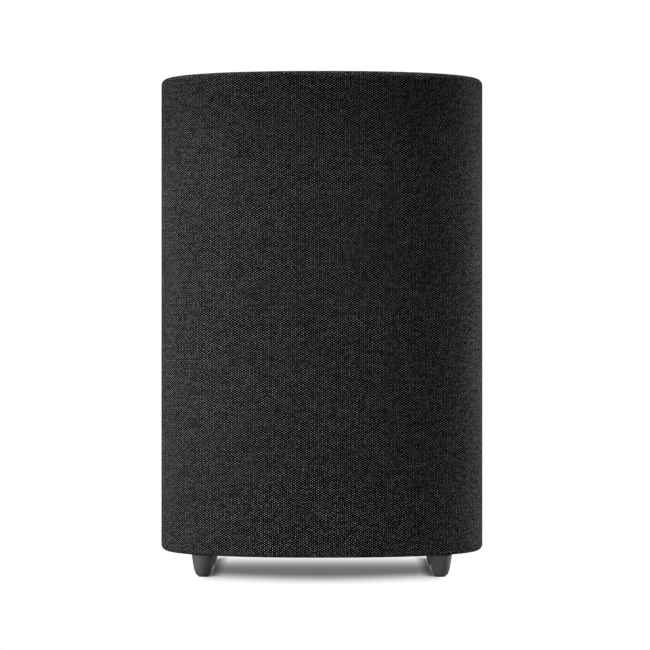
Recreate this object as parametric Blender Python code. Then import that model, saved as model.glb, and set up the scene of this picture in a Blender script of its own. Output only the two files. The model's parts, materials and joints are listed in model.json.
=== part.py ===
"""A slim upright subwoofer: an oval cabinet in a fabric sleeve, with its woofer firing down.

Metres, +Z up, front facing -Y. The origin is on the floor, under the centre of the oval plan.
"""

import math

import bmesh
import bpy
from mathutils import Matrix, Vector

MM = 0.001

# Driving dimensions: the whole object.
WIDTH = 340 * MM
DEPTH = 190 * MM
HEIGHT = 520 * MM
FOOT_HEIGHT = 23 * MM
PLAN_POWER = 2.27  # exponent of the superellipse plan: 2 is an ellipse, more is squarer
EDGE_RADIUS = 6 * MM
GAP = 0.3 * MM  # left between two pieces that touch

# Fabric, shell and boards, from the outside in.
FABRIC = 1.2 * MM
SHELL_INSET = FABRIC + GAP
WALL = 9 * MM
HEM_INSET = EDGE_RADIUS + 1 * MM  # where the fabric's turned edge meets the covers
COVER_INSET = HEM_INSET + GAP
BOARD_INSET = SHELL_INSET + WALL + GAP
COVER_THICK = 4.8 * MM
BOARD_THICK = 12 * MM
COVER_TOP = FOOT_HEIGHT + COVER_THICK
BOARD_Z = COVER_TOP + GAP
TOP_COVER_Z = HEIGHT - GAP - COVER_THICK
TOP_BOARD_Z = TOP_COVER_Z - GAP - BOARD_THICK

# Woofer, a 165 mm class driver. Its heights are measured up from the front of its flange.
FLANGE_R = 83 * MM
FLANGE_THICK = 3.2 * MM
GASKET_THICK = 1.3 * MM
BASKET_R = 73.6 * MM
SHEET = 1.8 * MM
LEDGE_R = 66 * MM
LEDGE_Z = 4 * MM
BASKET_CONE_Z = 13 * MM
SPIDER_LEDGE_R = 57 * MM
SPIDER_LEDGE_Z = 34.2 * MM
CAN_R = 47 * MM
CAN_TOP = 52 * MM
CAN_HOLE_R = 22.5 * MM
ROLL_R = 60 * MM
ROLL_HALF_WIDTH = 6 * MM
ROLL_HEIGHT = 4.6 * MM
RUBBER = 1.1 * MM
CONE_EDGE_R = 53.8 * MM
CONE_THICK = 1.2 * MM
NECK_R = 20.2 * MM
NECK_Z = 26 * MM
CAP_R = 27 * MM
FORMER_R = 19.7 * MM
COIL_R = 20.9 * MM
POLE_R = 18.2 * MM
MAGNET_R = 43 * MM
PLATE_THICK = 6 * MM
MAGNET_THICK = 16 * MM
FLANGE_SCREW_RING = 78.2 * MM
FLANGE_SCREWS = 6
BASKET_WINDOWS = 6

# Reflex port, beside the woofer.
PORT_X = 122 * MM
PORT_INNER_R = 23 * MM
PORT_OUTER_R = 26.3 * MM
PORT_FLANGE_R = 30.7 * MM
PORT_FLARE_LENGTH = 14 * MM
PORT_END_Z = 190 * MM

# Feet.
FOOT_X = 122.2 * MM
FOOT_Y = 54 * MM
FOOT_TOP_R = 12.7 * MM
FOOT_TAPER_INNER = 6.4 * MM  # the straight inward side
FOOT_TAPER_OUTER = 3 * MM  # the outward side, before its rounding
FOOT_ROUNDING = 3 * MM
FOOT_LEAN = (0.89, 0.46)  # the way each foot's rounded side faces, mirrored to its corner
PAD_R = 5.9 * MM
PAD_THICK = 1 * MM
FOOT_SCREW_R = 2 * MM
FOOT_HEAD_R = 3.3 * MM
FOOT_HEAD_Z = 6 * MM
FOOT_COUNTERBORE_R = 3.6 * MM

# Rear panel. Its pieces are placed from the panel's centre, with Y the distance along the row's +Y.
PANEL_Z = 200 * MM
OPENING = (116 * MM, 92 * MM)
OPENING_CORNER = 10 * MM
BEZEL_WINDOW = (99 * MM, 75 * MM)
WINDOW_CORNER = 6 * MM
BEZEL_BACK_Y = 84 * MM
PANEL = (112 * MM, 88 * MM)
PANEL_CORNER = 8 * MM
PANEL_THICK = 3 * MM
PANEL_FACE_Y = BEZEL_BACK_Y - GAP
PANEL_BACK_Y = PANEL_FACE_Y - PANEL_THICK
PANEL_SCREWS = (43 * MM, 31 * MM)
PANEL_SCREW_R = 1.5 * MM
THROUGH_Y = (60 * MM, 110 * MM)  # a cutter's reach, right through the panel and the wall
INLET_AT = (-22 * MM, -8 * MM)
INLET_SIZE = (30 * MM, 21 * MM)
INLET_BODY = (26 * MM, 17 * MM)
INLET_BODY_CORNER = 2 * MM
BUTTON_AT = (22 * MM, 4 * MM)
BUTTON_R = 5.7 * MM
LED_AT = (22 * MM, 20 * MM)
LED_R = 1.6 * MM
HOUSING = (110 * MM, 86 * MM)
HOUSING_DEPTH = 50 * MM
HOUSING_WALL = 2.5 * MM
MAIN_BOARD_Y = 65 * MM
POWER_BOARD_Y = 38 * MM
CIRCUIT_THICK = 1.6 * MM
BOARD_FACE_Y = MAIN_BOARD_Y + CIRCUIT_THICK + GAP  # where the main board's parts sit

# Facets.
OVAL_STEPS = 40
ROUND_STEPS = 28
TUBE_STEPS = 24
SMALL_STEPS = 18
SCREW_STEPS = 12
SHARP_ANGLE = math.radians(35)


# ---------------------------------------------------------------- materials


def paint(name, colour, roughness, metallic=0.0):
    """A Principled material of one colour."""
    material = bpy.data.materials.new(name)
    material.use_nodes = True
    shader = material.node_tree.nodes["Principled BSDF"]
    shader.inputs["Base Color"].default_value = (*colour, 1.0)
    shader.inputs["Roughness"].default_value = roughness
    shader.inputs["Metallic"].default_value = metallic
    return material


def make_materials():
    return {
        "fabric": paint("fabric", (0.022, 0.022, 0.023), 0.95),
        "felt": paint("felt", (0.30, 0.29, 0.27), 1.0),
        "moulding": paint("moulding", (0.030, 0.030, 0.031), 0.5),
        "foot": paint("foot", (0.045, 0.045, 0.046), 0.45),
        "fibreboard": paint("fibreboard", (0.36, 0.25, 0.15), 0.8),
        "rubber": paint("rubber", (0.012, 0.012, 0.012), 0.75),
        "foam": paint("foam", (0.02, 0.02, 0.02), 0.95),
        "paper": paint("paper", (0.035, 0.035, 0.037), 0.85),
        "spider": paint("spider", (0.42, 0.30, 0.14), 0.9),
        "film": paint("film", (0.35, 0.15, 0.03), 0.35),
        "copper": paint("copper", (0.70, 0.32, 0.16), 0.3, 1.0),
        "ferrite": paint("ferrite", (0.06, 0.06, 0.065), 0.6),
        "plated_steel": paint("plated_steel", (0.55, 0.56, 0.58), 0.35, 1.0),
        "painted_steel": paint("painted_steel", (0.02, 0.02, 0.021), 0.45),
        "aluminium": paint("aluminium", (0.70, 0.71, 0.73), 0.4, 1.0),
        "circuit": paint("circuit", (0.02, 0.12, 0.05), 0.5),
        "lens": paint("lens", (0.75, 0.78, 0.80), 0.15),
    }


# ---------------------------------------------------------------- shapes


def plan(inset, steps=OVAL_STEPS):
    """Points round the oval plan, moved inwards along its normals."""
    half_x, half_y = WIDTH / 2, DEPTH / 2
    points = []
    for i in range(steps):
        angle = 2 * math.pi * i / steps
        cosine, sine = round(math.cos(angle), 12), round(math.sin(angle), 12)
        u = math.copysign(abs(cosine) ** (2 / PLAN_POWER), cosine)
        v = math.copysign(abs(sine) ** (2 / PLAN_POWER), sine)
        normal = Vector(
            (
                math.copysign(abs(u) ** (PLAN_POWER - 1), u) / half_x,
                math.copysign(abs(v) ** (PLAN_POWER - 1), v) / half_y,
            )
        ).normalized()
        points.append(Vector((u * half_x, v * half_y)) - normal * inset)
    return points


def arc(centre, radii, start, end, steps):
    """Points on an ellipse's arc in a profile plane, from one angle in degrees to another."""
    angles = [math.radians(start + (end - start) * i / steps) for i in range(steps + 1)]
    return [(centre[0] + radii[0] * math.cos(a), centre[1] + radii[1] * math.sin(a)) for a in angles]


def circle(radius, z, steps, centre=(0.0, 0.0)):
    turn = 2 * math.pi / steps
    return [
        (centre[0] + radius * math.cos(turn * i), centre[1] + radius * math.sin(turn * i), z)
        for i in range(steps)
    ]


def rounded_rectangle(size, corner, steps=4):
    """Corner-rounded rectangle about the origin, as (x, y) points."""
    half_x, half_y = size[0] / 2 - corner, size[1] / 2 - corner
    centres = ((half_x, half_y), (-half_x, half_y), (-half_x, -half_y), (half_x, -half_y))
    points = []
    for quarter, centre in enumerate(centres):
        points += arc(centre, (corner, corner), 90 * quarter, 90 * quarter + 90, steps)
    return points


def add_object(name, bm, material, parent=None):
    """Makes the object, with its faces turned outwards."""
    bmesh.ops.recalc_face_normals(bm, faces=bm.faces)
    mesh = bpy.data.meshes.new(name)
    bm.to_mesh(mesh)
    bm.free()
    mesh.shade_smooth()
    mesh.set_sharp_from_angle(angle=SHARP_ANGLE)
    mesh.materials.append(material)
    return place(name, mesh, parent)


def place(name, data, parent=None, location=(0, 0, 0)):
    obj = bpy.data.objects.new(name, data)
    bpy.context.scene.collection.objects.link(obj)
    obj.parent = parent
    obj.location = location
    return obj


def loft(name, rings, material, closed=False, parent=None):
    """A solid through rings of equal length. Closed joins the last to the first, open caps both ends."""
    bm = bmesh.new()
    loops = [[bm.verts.new(point) for point in ring] for ring in rings]
    pairs = list(zip(loops, loops[1:]))
    if closed:
        pairs.append((loops[-1], loops[0]))
    else:
        bm.faces.new(loops[0])
        bm.faces.new(loops[-1])
    count = len(loops[0])
    for lower, upper in pairs:
        for i in range(count):
            j = (i + 1) % count
            bm.faces.new((lower[i], lower[j], upper[j], upper[i]))
    return add_object(name, bm, material, parent)


def swept(name, profile, material, closed=False):
    """A solid swept round the plan, from (inset, z) points."""
    rings = [[(p.x, p.y, z) for p in plan(inset)] for inset, z in profile]
    return loft(name, rings, material, closed)


def turned(name, profile, material, closed=False, steps=ROUND_STEPS, parent=None, centre=(0.0, 0.0)):
    """A solid turned about a vertical axis, from (radius, z) points."""
    rings = [circle(radius, z, steps, centre) for radius, z in profile]
    return loft(name, rings, material, closed, parent)


def prism(name, outline, y_from, y_to, material, parent=None):
    """An (x, z) outline extruded along Y."""
    rings = [[(x, y, z) for x, z in outline] for y in (y_from, y_to)]
    return loft(name, rings, material, parent=parent)


def block(name, low, high, material, parent=None):
    """A box between two corners."""
    bm = bmesh.new()
    bmesh.ops.create_cube(bm, size=1.0)
    low, high = Vector(low), Vector(high)
    shape = Matrix.LocRotScale((low + high) / 2, None, high - low)
    bmesh.ops.transform(bm, matrix=shape, verts=bm.verts)
    return add_object(name, bm, material, parent)


def wire(name, points, radius, material, parent=None):
    """A round wire along a smooth curve through the points."""
    curve = bpy.data.curves.new(name, "CURVE")
    curve.dimensions = "3D"
    curve.bevel_depth = radius
    curve.bevel_resolution = 1
    curve.resolution_u = 4
    curve.use_fill_caps = True
    spline = curve.splines.new("BEZIER")
    spline.bezier_points.add(len(points) - 1)
    for knot, point in zip(spline.bezier_points, points):
        knot.co = point
        knot.handle_left_type = knot.handle_right_type = "AUTO"
    curve.materials.append(material)
    return place(name, curve, parent)


def helper(obj):
    """Marks a cutter, which isn't a piece of the object."""
    obj.hide_render = True
    obj.display_type = "WIRE"
    return obj


def combine(target, other, operation="DIFFERENCE"):
    modifier = target.modifiers.new(operation.title() + " " + other.name, "BOOLEAN")
    modifier.operation = operation
    modifier.object = other


def soften(obj, width):
    modifier = obj.modifiers.new("Bevel", "BEVEL")
    modifier.width = width
    modifier.segments = 1
    modifier.limit_method = "ANGLE"


def drills(name, places, radius, z_from, z_to, steps=SCREW_STEPS, parent=None):
    """One cutter with a vertical cylinder at each place."""
    bm = bmesh.new()
    for x, y in places:
        loops = [[bm.verts.new(p) for p in circle(radius, z, steps, (x, y))] for z in (z_from, z_to)]
        bm.faces.new(loops[0])
        bm.faces.new(loops[1])
        for i in range(steps):
            j = (i + 1) % steps
            bm.faces.new((loops[0][i], loops[0][j], loops[1][j], loops[1][i]))
    return helper(add_object(name, bm, MATERIALS["moulding"], parent))


def screw_rings(head_r, head_h, shank_r, length, recess_r):
    """Rings of a pan-head screw with a hexagon socket, its seat at z = 0 and its shank upwards."""
    hexagon = math.cos(math.pi / 6)
    turn = 2 * math.pi / SCREW_STEPS
    crown_r, crown_side, socket_floor = head_r * 0.72, -head_h * 0.55, -head_h * 0.4

    def socket(z):
        radii = [recess_r * (1 if i % 2 == 0 else hexagon) for i in range(SCREW_STEPS)]
        return [(r * math.cos(turn * i), r * math.sin(turn * i), z) for i, r in enumerate(radii)]

    rounds = [(shank_r, length), (shank_r, 0.0), (head_r, 0.0), (head_r, crown_side)]
    rounds.append((crown_r, -head_h))
    rings = [circle(radius, z, SCREW_STEPS) for radius, z in rounds]
    return rings + [socket(-head_h), socket(socket_floor)]


def screws(names, places, rings, material, rotation=None, parent=None):
    """Identical screws that share one mesh."""
    first = loft(names[0], rings, material, parent=parent)
    copies = [first] + [place(name, first.data, parent) for name in names[1:]]
    for copy, location in zip(copies, places):
        copy.location = location
        if rotation:
            copy.rotation_euler = rotation
    return copies


# ---------------------------------------------------------------- cabinet


def cabinet_shell():
    """The oval tube that carries everything, with a rabbet at each end for a board and its cover."""
    radius = EDGE_RADIUS - SHELL_INSET
    low, high = FOOT_HEIGHT + SHELL_INSET, HEIGHT - SHELL_INSET
    centre = SHELL_INSET + radius
    inner = SHELL_INSET + WALL
    profile = arc((centre, low + radius), (radius, radius), 270, 180, 3)
    profile += arc((centre, high - radius), (radius, radius), 180, 90, 3)
    profile += [(HEM_INSET, high), (HEM_INSET, TOP_COVER_Z), (inner, TOP_COVER_Z)]
    profile += [(inner, BOARD_Z), (HEM_INSET, BOARD_Z), (HEM_INSET, low)]
    return swept("cabinet_shell", profile, MATERIALS["moulding"], closed=True)


def fabric_sleeve():
    """The fabric tube, turned in over both rims as far as the covers."""
    low, high = FOOT_HEIGHT + EDGE_RADIUS, HEIGHT - EDGE_RADIUS
    outer, inner = EDGE_RADIUS, EDGE_RADIUS - FABRIC
    profile = arc((EDGE_RADIUS, low), (outer, outer), 270, 180, 3)
    profile += arc((EDGE_RADIUS, high), (outer, outer), 180, 90, 3)
    profile += [(HEM_INSET, HEIGHT), (HEM_INSET, HEIGHT - FABRIC)]
    profile += arc((EDGE_RADIUS, high), (inner, inner), 90, 180, 3)
    profile += arc((EDGE_RADIUS, low), (inner, inner), 180, 270, 3)
    profile += [(HEM_INSET, FOOT_HEIGHT + FABRIC), (HEM_INSET, FOOT_HEIGHT)]
    return swept("fabric_sleeve", profile, MATERIALS["fabric"], closed=True)


def boards_and_covers():
    """The two structural boards, the covers that close both ends, the brace and the felt lining."""
    wood, plastic = MATERIALS["fibreboard"], MATERIALS["moulding"]
    chamfer = 0.8 * MM
    baffle = swept("baffle_board", [(BOARD_INSET, BOARD_Z), (BOARD_INSET, BOARD_Z + BOARD_THICK)], wood)
    swept("top_board", [(BOARD_INSET, TOP_BOARD_Z), (BOARD_INSET, TOP_BOARD_Z + BOARD_THICK)], wood)
    base_profile = [(COVER_INSET + chamfer, FOOT_HEIGHT), (COVER_INSET, FOOT_HEIGHT + chamfer)]
    base = swept("base_cover", base_profile + [(COVER_INSET, COVER_TOP)], plastic)
    top = TOP_COVER_Z + COVER_THICK
    top_profile = [(COVER_INSET, TOP_COVER_Z + GAP), (COVER_INSET, top - chamfer)]
    top_profile.append((COVER_INSET + chamfer, top))
    swept("top_cover", top_profile, plastic)

    brace_z, brace_thick, brace_rim = 330 * MM, 9 * MM, 26 * MM
    inside = BOARD_INSET + brace_rim
    ends = (brace_z, brace_z + brace_thick)
    brace = [(BOARD_INSET, ends[0]), (BOARD_INSET, ends[1]), (inside, ends[1]), (inside, ends[0])]
    swept("cabinet_brace", brace, wood, closed=True)
    felt_z, felt_thick = (345 * MM, 495 * MM), 8 * MM
    lining = [(BOARD_INSET, felt_z[0]), (BOARD_INSET, felt_z[1])]
    lining += [(BOARD_INSET + felt_thick, felt_z[1]), (BOARD_INSET + felt_thick, felt_z[0])]
    swept("felt_lining", lining, MATERIALS["felt"], closed=True)
    return baffle, base


def reflex_port():
    """The bass port: a tube flared at both ends, with a flange let into the base cover."""
    low = FOOT_HEIGHT + GAP
    flange_top = COVER_TOP - GAP
    throat = PORT_FLANGE_R - 1.2 * MM - PORT_INNER_R
    end_flare = 4 * MM
    flare_z = PORT_END_Z - 3 * end_flare
    profile = [(PORT_FLANGE_R, low), (PORT_FLANGE_R, flange_top), (PORT_OUTER_R, flange_top)]
    profile += [(PORT_OUTER_R, flare_z), (PORT_OUTER_R + end_flare, PORT_END_Z)]
    profile += arc((PORT_INNER_R + end_flare, flare_z), (end_flare, 3 * end_flare), 90, 180, 3)
    flare_centre = (PORT_INNER_R + throat, low + PORT_FLARE_LENGTH)
    profile += arc(flare_centre, (throat, PORT_FLARE_LENGTH), 180, 270, 4)
    plastic, axis = MATERIALS["moulding"], (PORT_X, 0)
    return turned("reflex_port", profile, plastic, True, TUBE_STEPS, centre=axis)


# ---------------------------------------------------------------- feet


def corners():
    return [("front_left", -1, -1), ("front_right", 1, -1), ("rear_left", -1, 1), ("rear_right", 1, 1)]


def foot_rings(lean):
    """Rings from the foot's top to its bottom: outward it bulges and inward it is straight."""
    top, bottom = FOOT_HEIGHT - GAP, PAD_THICK + GAP
    rings = []
    for share in (0.0, 0.4, 0.68, 0.84, 0.94, 0.99, 1.0):
        outer = FOOT_TOP_R - FOOT_TAPER_OUTER * share - FOOT_ROUNDING * (1 - math.sqrt(1 - share**4))
        inner = FOOT_TOP_R - FOOT_TAPER_INNER * share
        centre = lean * (outer - inner) / 2
        rings.append(circle((outer + inner) / 2, top + (bottom - top) * share, SMALL_STEPS, centre))
    return rings


def feet():
    """Four moulded feet, each with its rubber pad and the screw that the pad hides."""
    length = BOARD_Z + BOARD_THICK - 2 * MM - FOOT_HEAD_Z
    head_h, socket_r, pad_chamfer = 2.6 * MM, 1.6 * MM, 0.5 * MM
    names, places = [], []
    for corner, side_x, side_y in corners():
        lean = Vector((FOOT_LEAN[0] * side_x, FOOT_LEAN[1] * side_y))
        at = Vector((FOOT_X * side_x, FOOT_Y * side_y, 0))
        foot = loft("foot_" + corner, foot_rings(lean), MATERIALS["foot"])
        foot.location = at
        bore = [(FOOT_SCREW_R + GAP, FOOT_HEIGHT + MM), (FOOT_SCREW_R + GAP, FOOT_HEAD_Z + GAP)]
        bore += [(FOOT_COUNTERBORE_R, FOOT_HEAD_Z + GAP), (FOOT_COUNTERBORE_R, 0)]
        cutter = helper(turned("bore_" + corner, bore, MATERIALS["foot"], steps=SCREW_STEPS))
        cutter.location = at
        combine(foot, cutter)
        pad_centre = lean * (FOOT_TAPER_INNER - FOOT_TAPER_OUTER - FOOT_ROUNDING) / 2
        pad = [(PAD_R - pad_chamfer, 0), (PAD_R, pad_chamfer), (PAD_R, PAD_THICK)]
        pad_object = turned("foot_pad_" + corner, pad, MATERIALS["rubber"], steps=SMALL_STEPS)
        pad_object.location = at + Vector((*pad_centre, 0))
        names.append("foot_screw_" + corner)
        places.append(at + Vector((0, 0, FOOT_HEAD_Z)))
    rings = screw_rings(FOOT_HEAD_R, head_h, FOOT_SCREW_R, length, socket_r)
    screws(names, places, rings, MATERIALS["plated_steel"])


# ---------------------------------------------------------------- woofer


def basket(axis):
    """The pressed steel basket: flange, surround ledge, windowed cone, spider ledge and magnet can."""
    inner_r = BASKET_R - SHEET
    ledge_r, ledge_z = SPIDER_LEDGE_R, SPIDER_LEDGE_Z
    profile = [(FLANGE_R, 0), (FLANGE_R, FLANGE_THICK), (BASKET_R, FLANGE_THICK)]
    profile += [(BASKET_R, BASKET_CONE_Z), (ledge_r, ledge_z), (ledge_r, ledge_z + SHEET)]
    profile += [(CAN_R, ledge_z + SHEET)]
    profile += [(CAN_R, CAN_TOP), (CAN_HOLE_R, CAN_TOP), (CAN_HOLE_R, CAN_TOP - SHEET)]
    profile += [(CAN_R - SHEET, CAN_TOP - SHEET), (CAN_R - SHEET, ledge_z), (ledge_r - SHEET, ledge_z)]
    profile += [(inner_r, BASKET_CONE_Z), (inner_r, LEDGE_Z + SHEET), (LEDGE_R, LEDGE_Z + SHEET)]
    profile += [(LEDGE_R, LEDGE_Z), (inner_r, LEDGE_Z), (inner_r, 0)]
    frame = turned("woofer_basket", profile, MATERIALS["painted_steel"], True, parent=axis)

    window_r, window_reach, window_width, window_z = 65 * MM, 26 * MM, 34 * MM, (16 * MM, 31 * MM)
    middle = Vector((window_r, 0, sum(window_z) / 2))
    size = Vector((window_reach, window_width, window_z[1] - window_z[0]))
    bm = bmesh.new()
    for i in range(BASKET_WINDOWS):
        turn = Matrix.Rotation(2 * math.pi * (i + 0.5) / BASKET_WINDOWS, 4, "Z")
        bmesh.ops.create_cube(bm, size=1.0, matrix=turn @ Matrix.LocRotScale(middle, None, size))
    combine(frame, helper(add_object("basket_windows", bm, MATERIALS["moulding"], axis)))
    return frame


def moving_parts(axis):
    """Cone, dust cap, former and coil: what travels along the woofer's axis."""
    slide = place("cone_slide", None, axis)
    rim, rim_z = 50.4 * MM, LEDGE_Z
    middle_r, middle_z = 36 * MM, 12.6 * MM
    neck_thick, middle_thick = 1.6 * CONE_THICK, 1.3 * CONE_THICK
    front = [(CONE_EDGE_R, rim_z), (rim, rim_z), (middle_r, middle_z), (NECK_R, NECK_Z)]
    back = [(NECK_R, NECK_Z + neck_thick), (middle_r, middle_z + middle_thick)]
    back += [(rim, rim_z + CONE_THICK), (CONE_EDGE_R, rim_z + CONE_THICK)]
    turned("woofer_cone", front + back, MATERIALS["paper"], True, parent=slide)

    cap_share = (middle_r - CAP_R) / (middle_r - NECK_R)
    rim_at = middle_z + (NECK_Z - middle_z) * cap_share - 4 * GAP
    dome, skin = 8 * MM, 0.9 * MM
    outer = arc((0, rim_at), (CAP_R, -dome), 84, 0, 4)
    inner = arc((0, rim_at), (CAP_R - skin, -(dome - skin)), 0, 84, 4)
    turned("dust_cap", outer + inner, MATERIALS["paper"], steps=TUBE_STEPS, parent=slide)

    film, former_z = 0.7 * MM, (24 * MM, 66 * MM)
    bobbin = [(FORMER_R - film, former_z[0]), (FORMER_R, former_z[0])]
    bobbin += [(FORMER_R, former_z[1]), (FORMER_R - film, former_z[1])]
    turned("coil_former", bobbin, MATERIALS["film"], True, TUBE_STEPS, slide)
    coil_z = (50 * MM, 65.5 * MM)
    inner_r = FORMER_R + GAP
    winding = [(inner_r, coil_z[0]), (COIL_R, coil_z[0]), (COIL_R, coil_z[1]), (inner_r, coil_z[1])]
    turned("voice_coil", winding, MATERIALS["copper"], True, TUBE_STEPS, slide)


def suspension(axis):
    """What flexes as the cone travels: the rubber half-roll surround, and the spider."""
    face = LEDGE_Z - GAP
    lip = (BASKET_R - SHEET - GAP, CONE_EDGE_R - 3.4 * MM)
    centre = (ROLL_R, face - RUBBER)
    below = arc(centre, (ROLL_HALF_WIDTH, ROLL_HEIGHT), 0, -180, 6)
    thin = RUBBER * 0.9
    above = arc((ROLL_R, face), (ROLL_HALF_WIDTH - thin, ROLL_HEIGHT), -180, 0, 6)
    profile = [(lip[0], face), (lip[0], face - RUBBER)] + below
    profile += [(lip[1], face - RUBBER), (lip[1], face)] + above
    turned("surround", profile, MATERIALS["rubber"], True, parent=axis)

    spider(axis)


def spider(axis):
    """The corrugated cloth ring that centres the former, between two flat lips."""
    cloth, waves, swing = 0.9 * MM, 4, 1.7 * MM
    level = SPIDER_LEDGE_Z - GAP - cloth
    outer_lip = (SPIDER_LEDGE_R - 2.6 * MM, CAN_R - 3 * MM)
    inner_lip = (NECK_R + 2.5 * MM, NECK_R)
    steps = 2 * waves
    wave = []
    for i in range(1, steps):
        radius = outer_lip[1] + (inner_lip[0] - outer_lip[1]) * i / steps
        wave.append((radius, level + (swing if i % 2 else -swing)))
    under = [(outer_lip[0], level), (outer_lip[1], level)] + wave
    under += [(inner_lip[0], level), (inner_lip[1], level)]
    over = [(radius, z + cloth) for radius, z in reversed(under)]
    turned("spider", under + over, MATERIALS["spider"], True, parent=axis)


def motor(axis):
    """Front plate, ferrite ring and the yoke with its vented pole."""
    plate_z = CAN_TOP + GAP
    magnet_z = plate_z + PLATE_THICK + GAP
    yoke_z = magnet_z + MAGNET_THICK + GAP
    steel = MATERIALS["plated_steel"]

    def washer(name, inner, outer, low, high, material):
        ring = [(inner, low), (outer, low), (outer, high), (inner, high)]
        return turned(name, ring, material, True, parent=axis)

    plate_r, magnet_bore_r, vent_r = 39 * MM, 25 * MM, 5 * MM
    washer("front_plate", COIL_R + 0.7 * MM, plate_r, plate_z, plate_z + PLATE_THICK, steel)
    magnet_end = magnet_z + MAGNET_THICK
    washer("magnet_ring", magnet_bore_r, MAGNET_R, magnet_z, magnet_end, MATERIALS["ferrite"])
    yoke = [(vent_r, plate_z), (POLE_R, plate_z), (POLE_R, yoke_z), (plate_r, yoke_z)]
    yoke += [(plate_r, yoke_z + PLATE_THICK), (vent_r, yoke_z + PLATE_THICK)]
    turned("magnet_yoke", yoke, steel, True, parent=axis)


def terminals(axis):
    """The tag strip on the basket's can and the two braided leads to the cone."""
    half_width, low_z, high_z = 9 * MM, 39 * MM, 50 * MM
    near, far = CAN_R + GAP, CAN_R + 3.6 * MM
    low, high = (-half_width, near, low_z), (half_width, far, high_z)
    strip = block("terminal_strip", low, high, MATERIALS["circuit"], axis)
    tag_x, tag_half, tag_reach, tag_z = 5 * MM, 1.4 * MM, 3 * MM, (41 * MM, 42.2 * MM)
    lead_r = 0.6 * MM
    knots = [(far + 2 * MM, 40 * MM), (64 * MM, 33 * MM), (56 * MM, 24 * MM)]
    knots += [(44 * MM, 21 * MM), (34 * MM, 18.4 * MM)]
    for name, side in (("left", -1), ("right", 1)):
        x = tag_x * side
        low, high = (x - tag_half, far - MM, tag_z[0]), (x + tag_half, far + tag_reach, tag_z[1])
        tag = block("tag_" + name, low, high, MATERIALS["copper"], axis)
        combine(strip, helper(tag), "UNION")
        path = [Vector((x, y, z)) for y, z in knots]
        wire("braided_lead_" + name, path, lead_r, MATERIALS["copper"], axis)


def woofer():
    """The whole driver, on an empty at the front of its flange, and the cutter for its screws."""
    axis = place("woofer_axis", None, location=(0, 0, FOOT_HEIGHT))
    frame = basket(axis)
    inner_r, outer_r = BASKET_R + 0.9 * MM, FLANGE_R - 0.5 * MM
    low, high = FLANGE_THICK + GAP, FLANGE_THICK + GAP + GASKET_THICK
    seal = [(inner_r, low), (outer_r, low), (outer_r, high), (inner_r, high)]
    gasket = turned("woofer_gasket", seal, MATERIALS["foam"], True, parent=axis)
    moving_parts(axis)
    suspension(axis)
    motor(axis)
    terminals(axis)

    turn = 2 * math.pi / FLANGE_SCREWS
    places = [
        (FLANGE_SCREW_RING * math.cos(turn * i), FLANGE_SCREW_RING * math.sin(turn * i))
        for i in range(FLANGE_SCREWS)
    ]
    shank, head_r, head_h, length, socket_r = 1.8 * MM, 3.4 * MM, 1.3 * MM, 15 * MM, 1.5 * MM
    hole_top = BOARD_THICK + 6 * MM
    holes = drills("woofer_screw_holes", places, shank + GAP, -MM, hole_top, parent=axis)
    combine(frame, holes)
    combine(gasket, holes)
    names = [f"woofer_screw_{i + 1}" for i in range(FLANGE_SCREWS)]
    rings = screw_rings(head_r, head_h, shank, length, socket_r)
    seats = [(x, y, -GAP) for x, y in places]
    screws(names, seats, rings, MATERIALS["painted_steel"], parent=axis)
    return holes


def open_the_base(baffle, base, screw_holes):
    """Cuts the woofer's, the port's and the screws' holes in the baffle board and the base cover."""
    above = BOARD_Z + BOARD_THICK + MM
    woofer_hole = drills("woofer_cutout", [(0, 0)], BASKET_R + 0.9 * MM, 0, above, ROUND_STEPS)
    port_hole = drills("port_cutout", [(PORT_X, 0)], PORT_OUTER_R + 0.4 * MM, 0, above, TUBE_STEPS)
    flange_hole = drills("flange_cutout", [(0, 0)], FLANGE_R + 0.5 * MM, 0, above, ROUND_STEPS)
    port_seat = drills("port_seat", [(PORT_X, 0)], PORT_FLANGE_R + GAP, 0, above, TUBE_STEPS)
    places = [(FOOT_X * side_x, FOOT_Y * side_y) for _, side_x, side_y in corners()]
    foot_holes = drills("foot_screw_holes", places, FOOT_SCREW_R + GAP, 0, above)
    for cutter in (woofer_hole, port_hole, foot_holes, screw_holes):
        combine(baffle, cutter)
    for cutter in (flange_hole, port_seat, foot_holes):
        combine(base, cutter)


# ---------------------------------------------------------------- rear panel and electronics


def rectangle_at(size, corner, at=(0.0, 0.0), steps=4):
    """A rounded rectangle's (x, z) points about a place on the panel."""
    return [(x + at[0], z + at[1]) for x, z in rounded_rectangle(size, corner, steps)]


def facing_back(obj, at, y):
    """Turns a piece whose own axis is Z so that its -Z end faces the back, at a place on the panel."""
    obj.rotation_euler = (math.radians(90), 0, 0)
    obj.location = (at[0], y, at[1])
    return obj


def cut_the_opening(shell, sleeve, panel):
    """Opens the back of the shell and of the sleeve for the rear panel."""
    outline = rectangle_at(OPENING, OPENING_CORNER)
    opening = helper(prism("rear_opening", outline, *THROUGH_Y, MATERIALS["moulding"], panel))
    combine(shell, opening)
    combine(sleeve, opening)


def bezel(panel):
    """The frame round the rear panel. Its face follows the cabinet's curve."""
    size = (OPENING[0] - 2 * GAP, OPENING[1] - 2 * GAP)
    outline, plastic = rectangle_at(size, OPENING_CORNER - GAP), MATERIALS["moulding"]
    frame = prism("rear_bezel", outline, BEZEL_BACK_Y, THROUGH_Y[1], plastic, panel)
    recess, reach = 0.2 * MM, 80 * MM
    body = [[(p.x, p.y, z) for p in plan(recess)] for z in (-reach, reach)]
    combine(frame, helper(loft("bezel_curve", body, plastic, parent=panel)), "INTERSECT")
    outline = rectangle_at(BEZEL_WINDOW, WINDOW_CORNER)
    combine(frame, helper(prism("bezel_window", outline, *THROUGH_Y, plastic, panel)))


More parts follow.
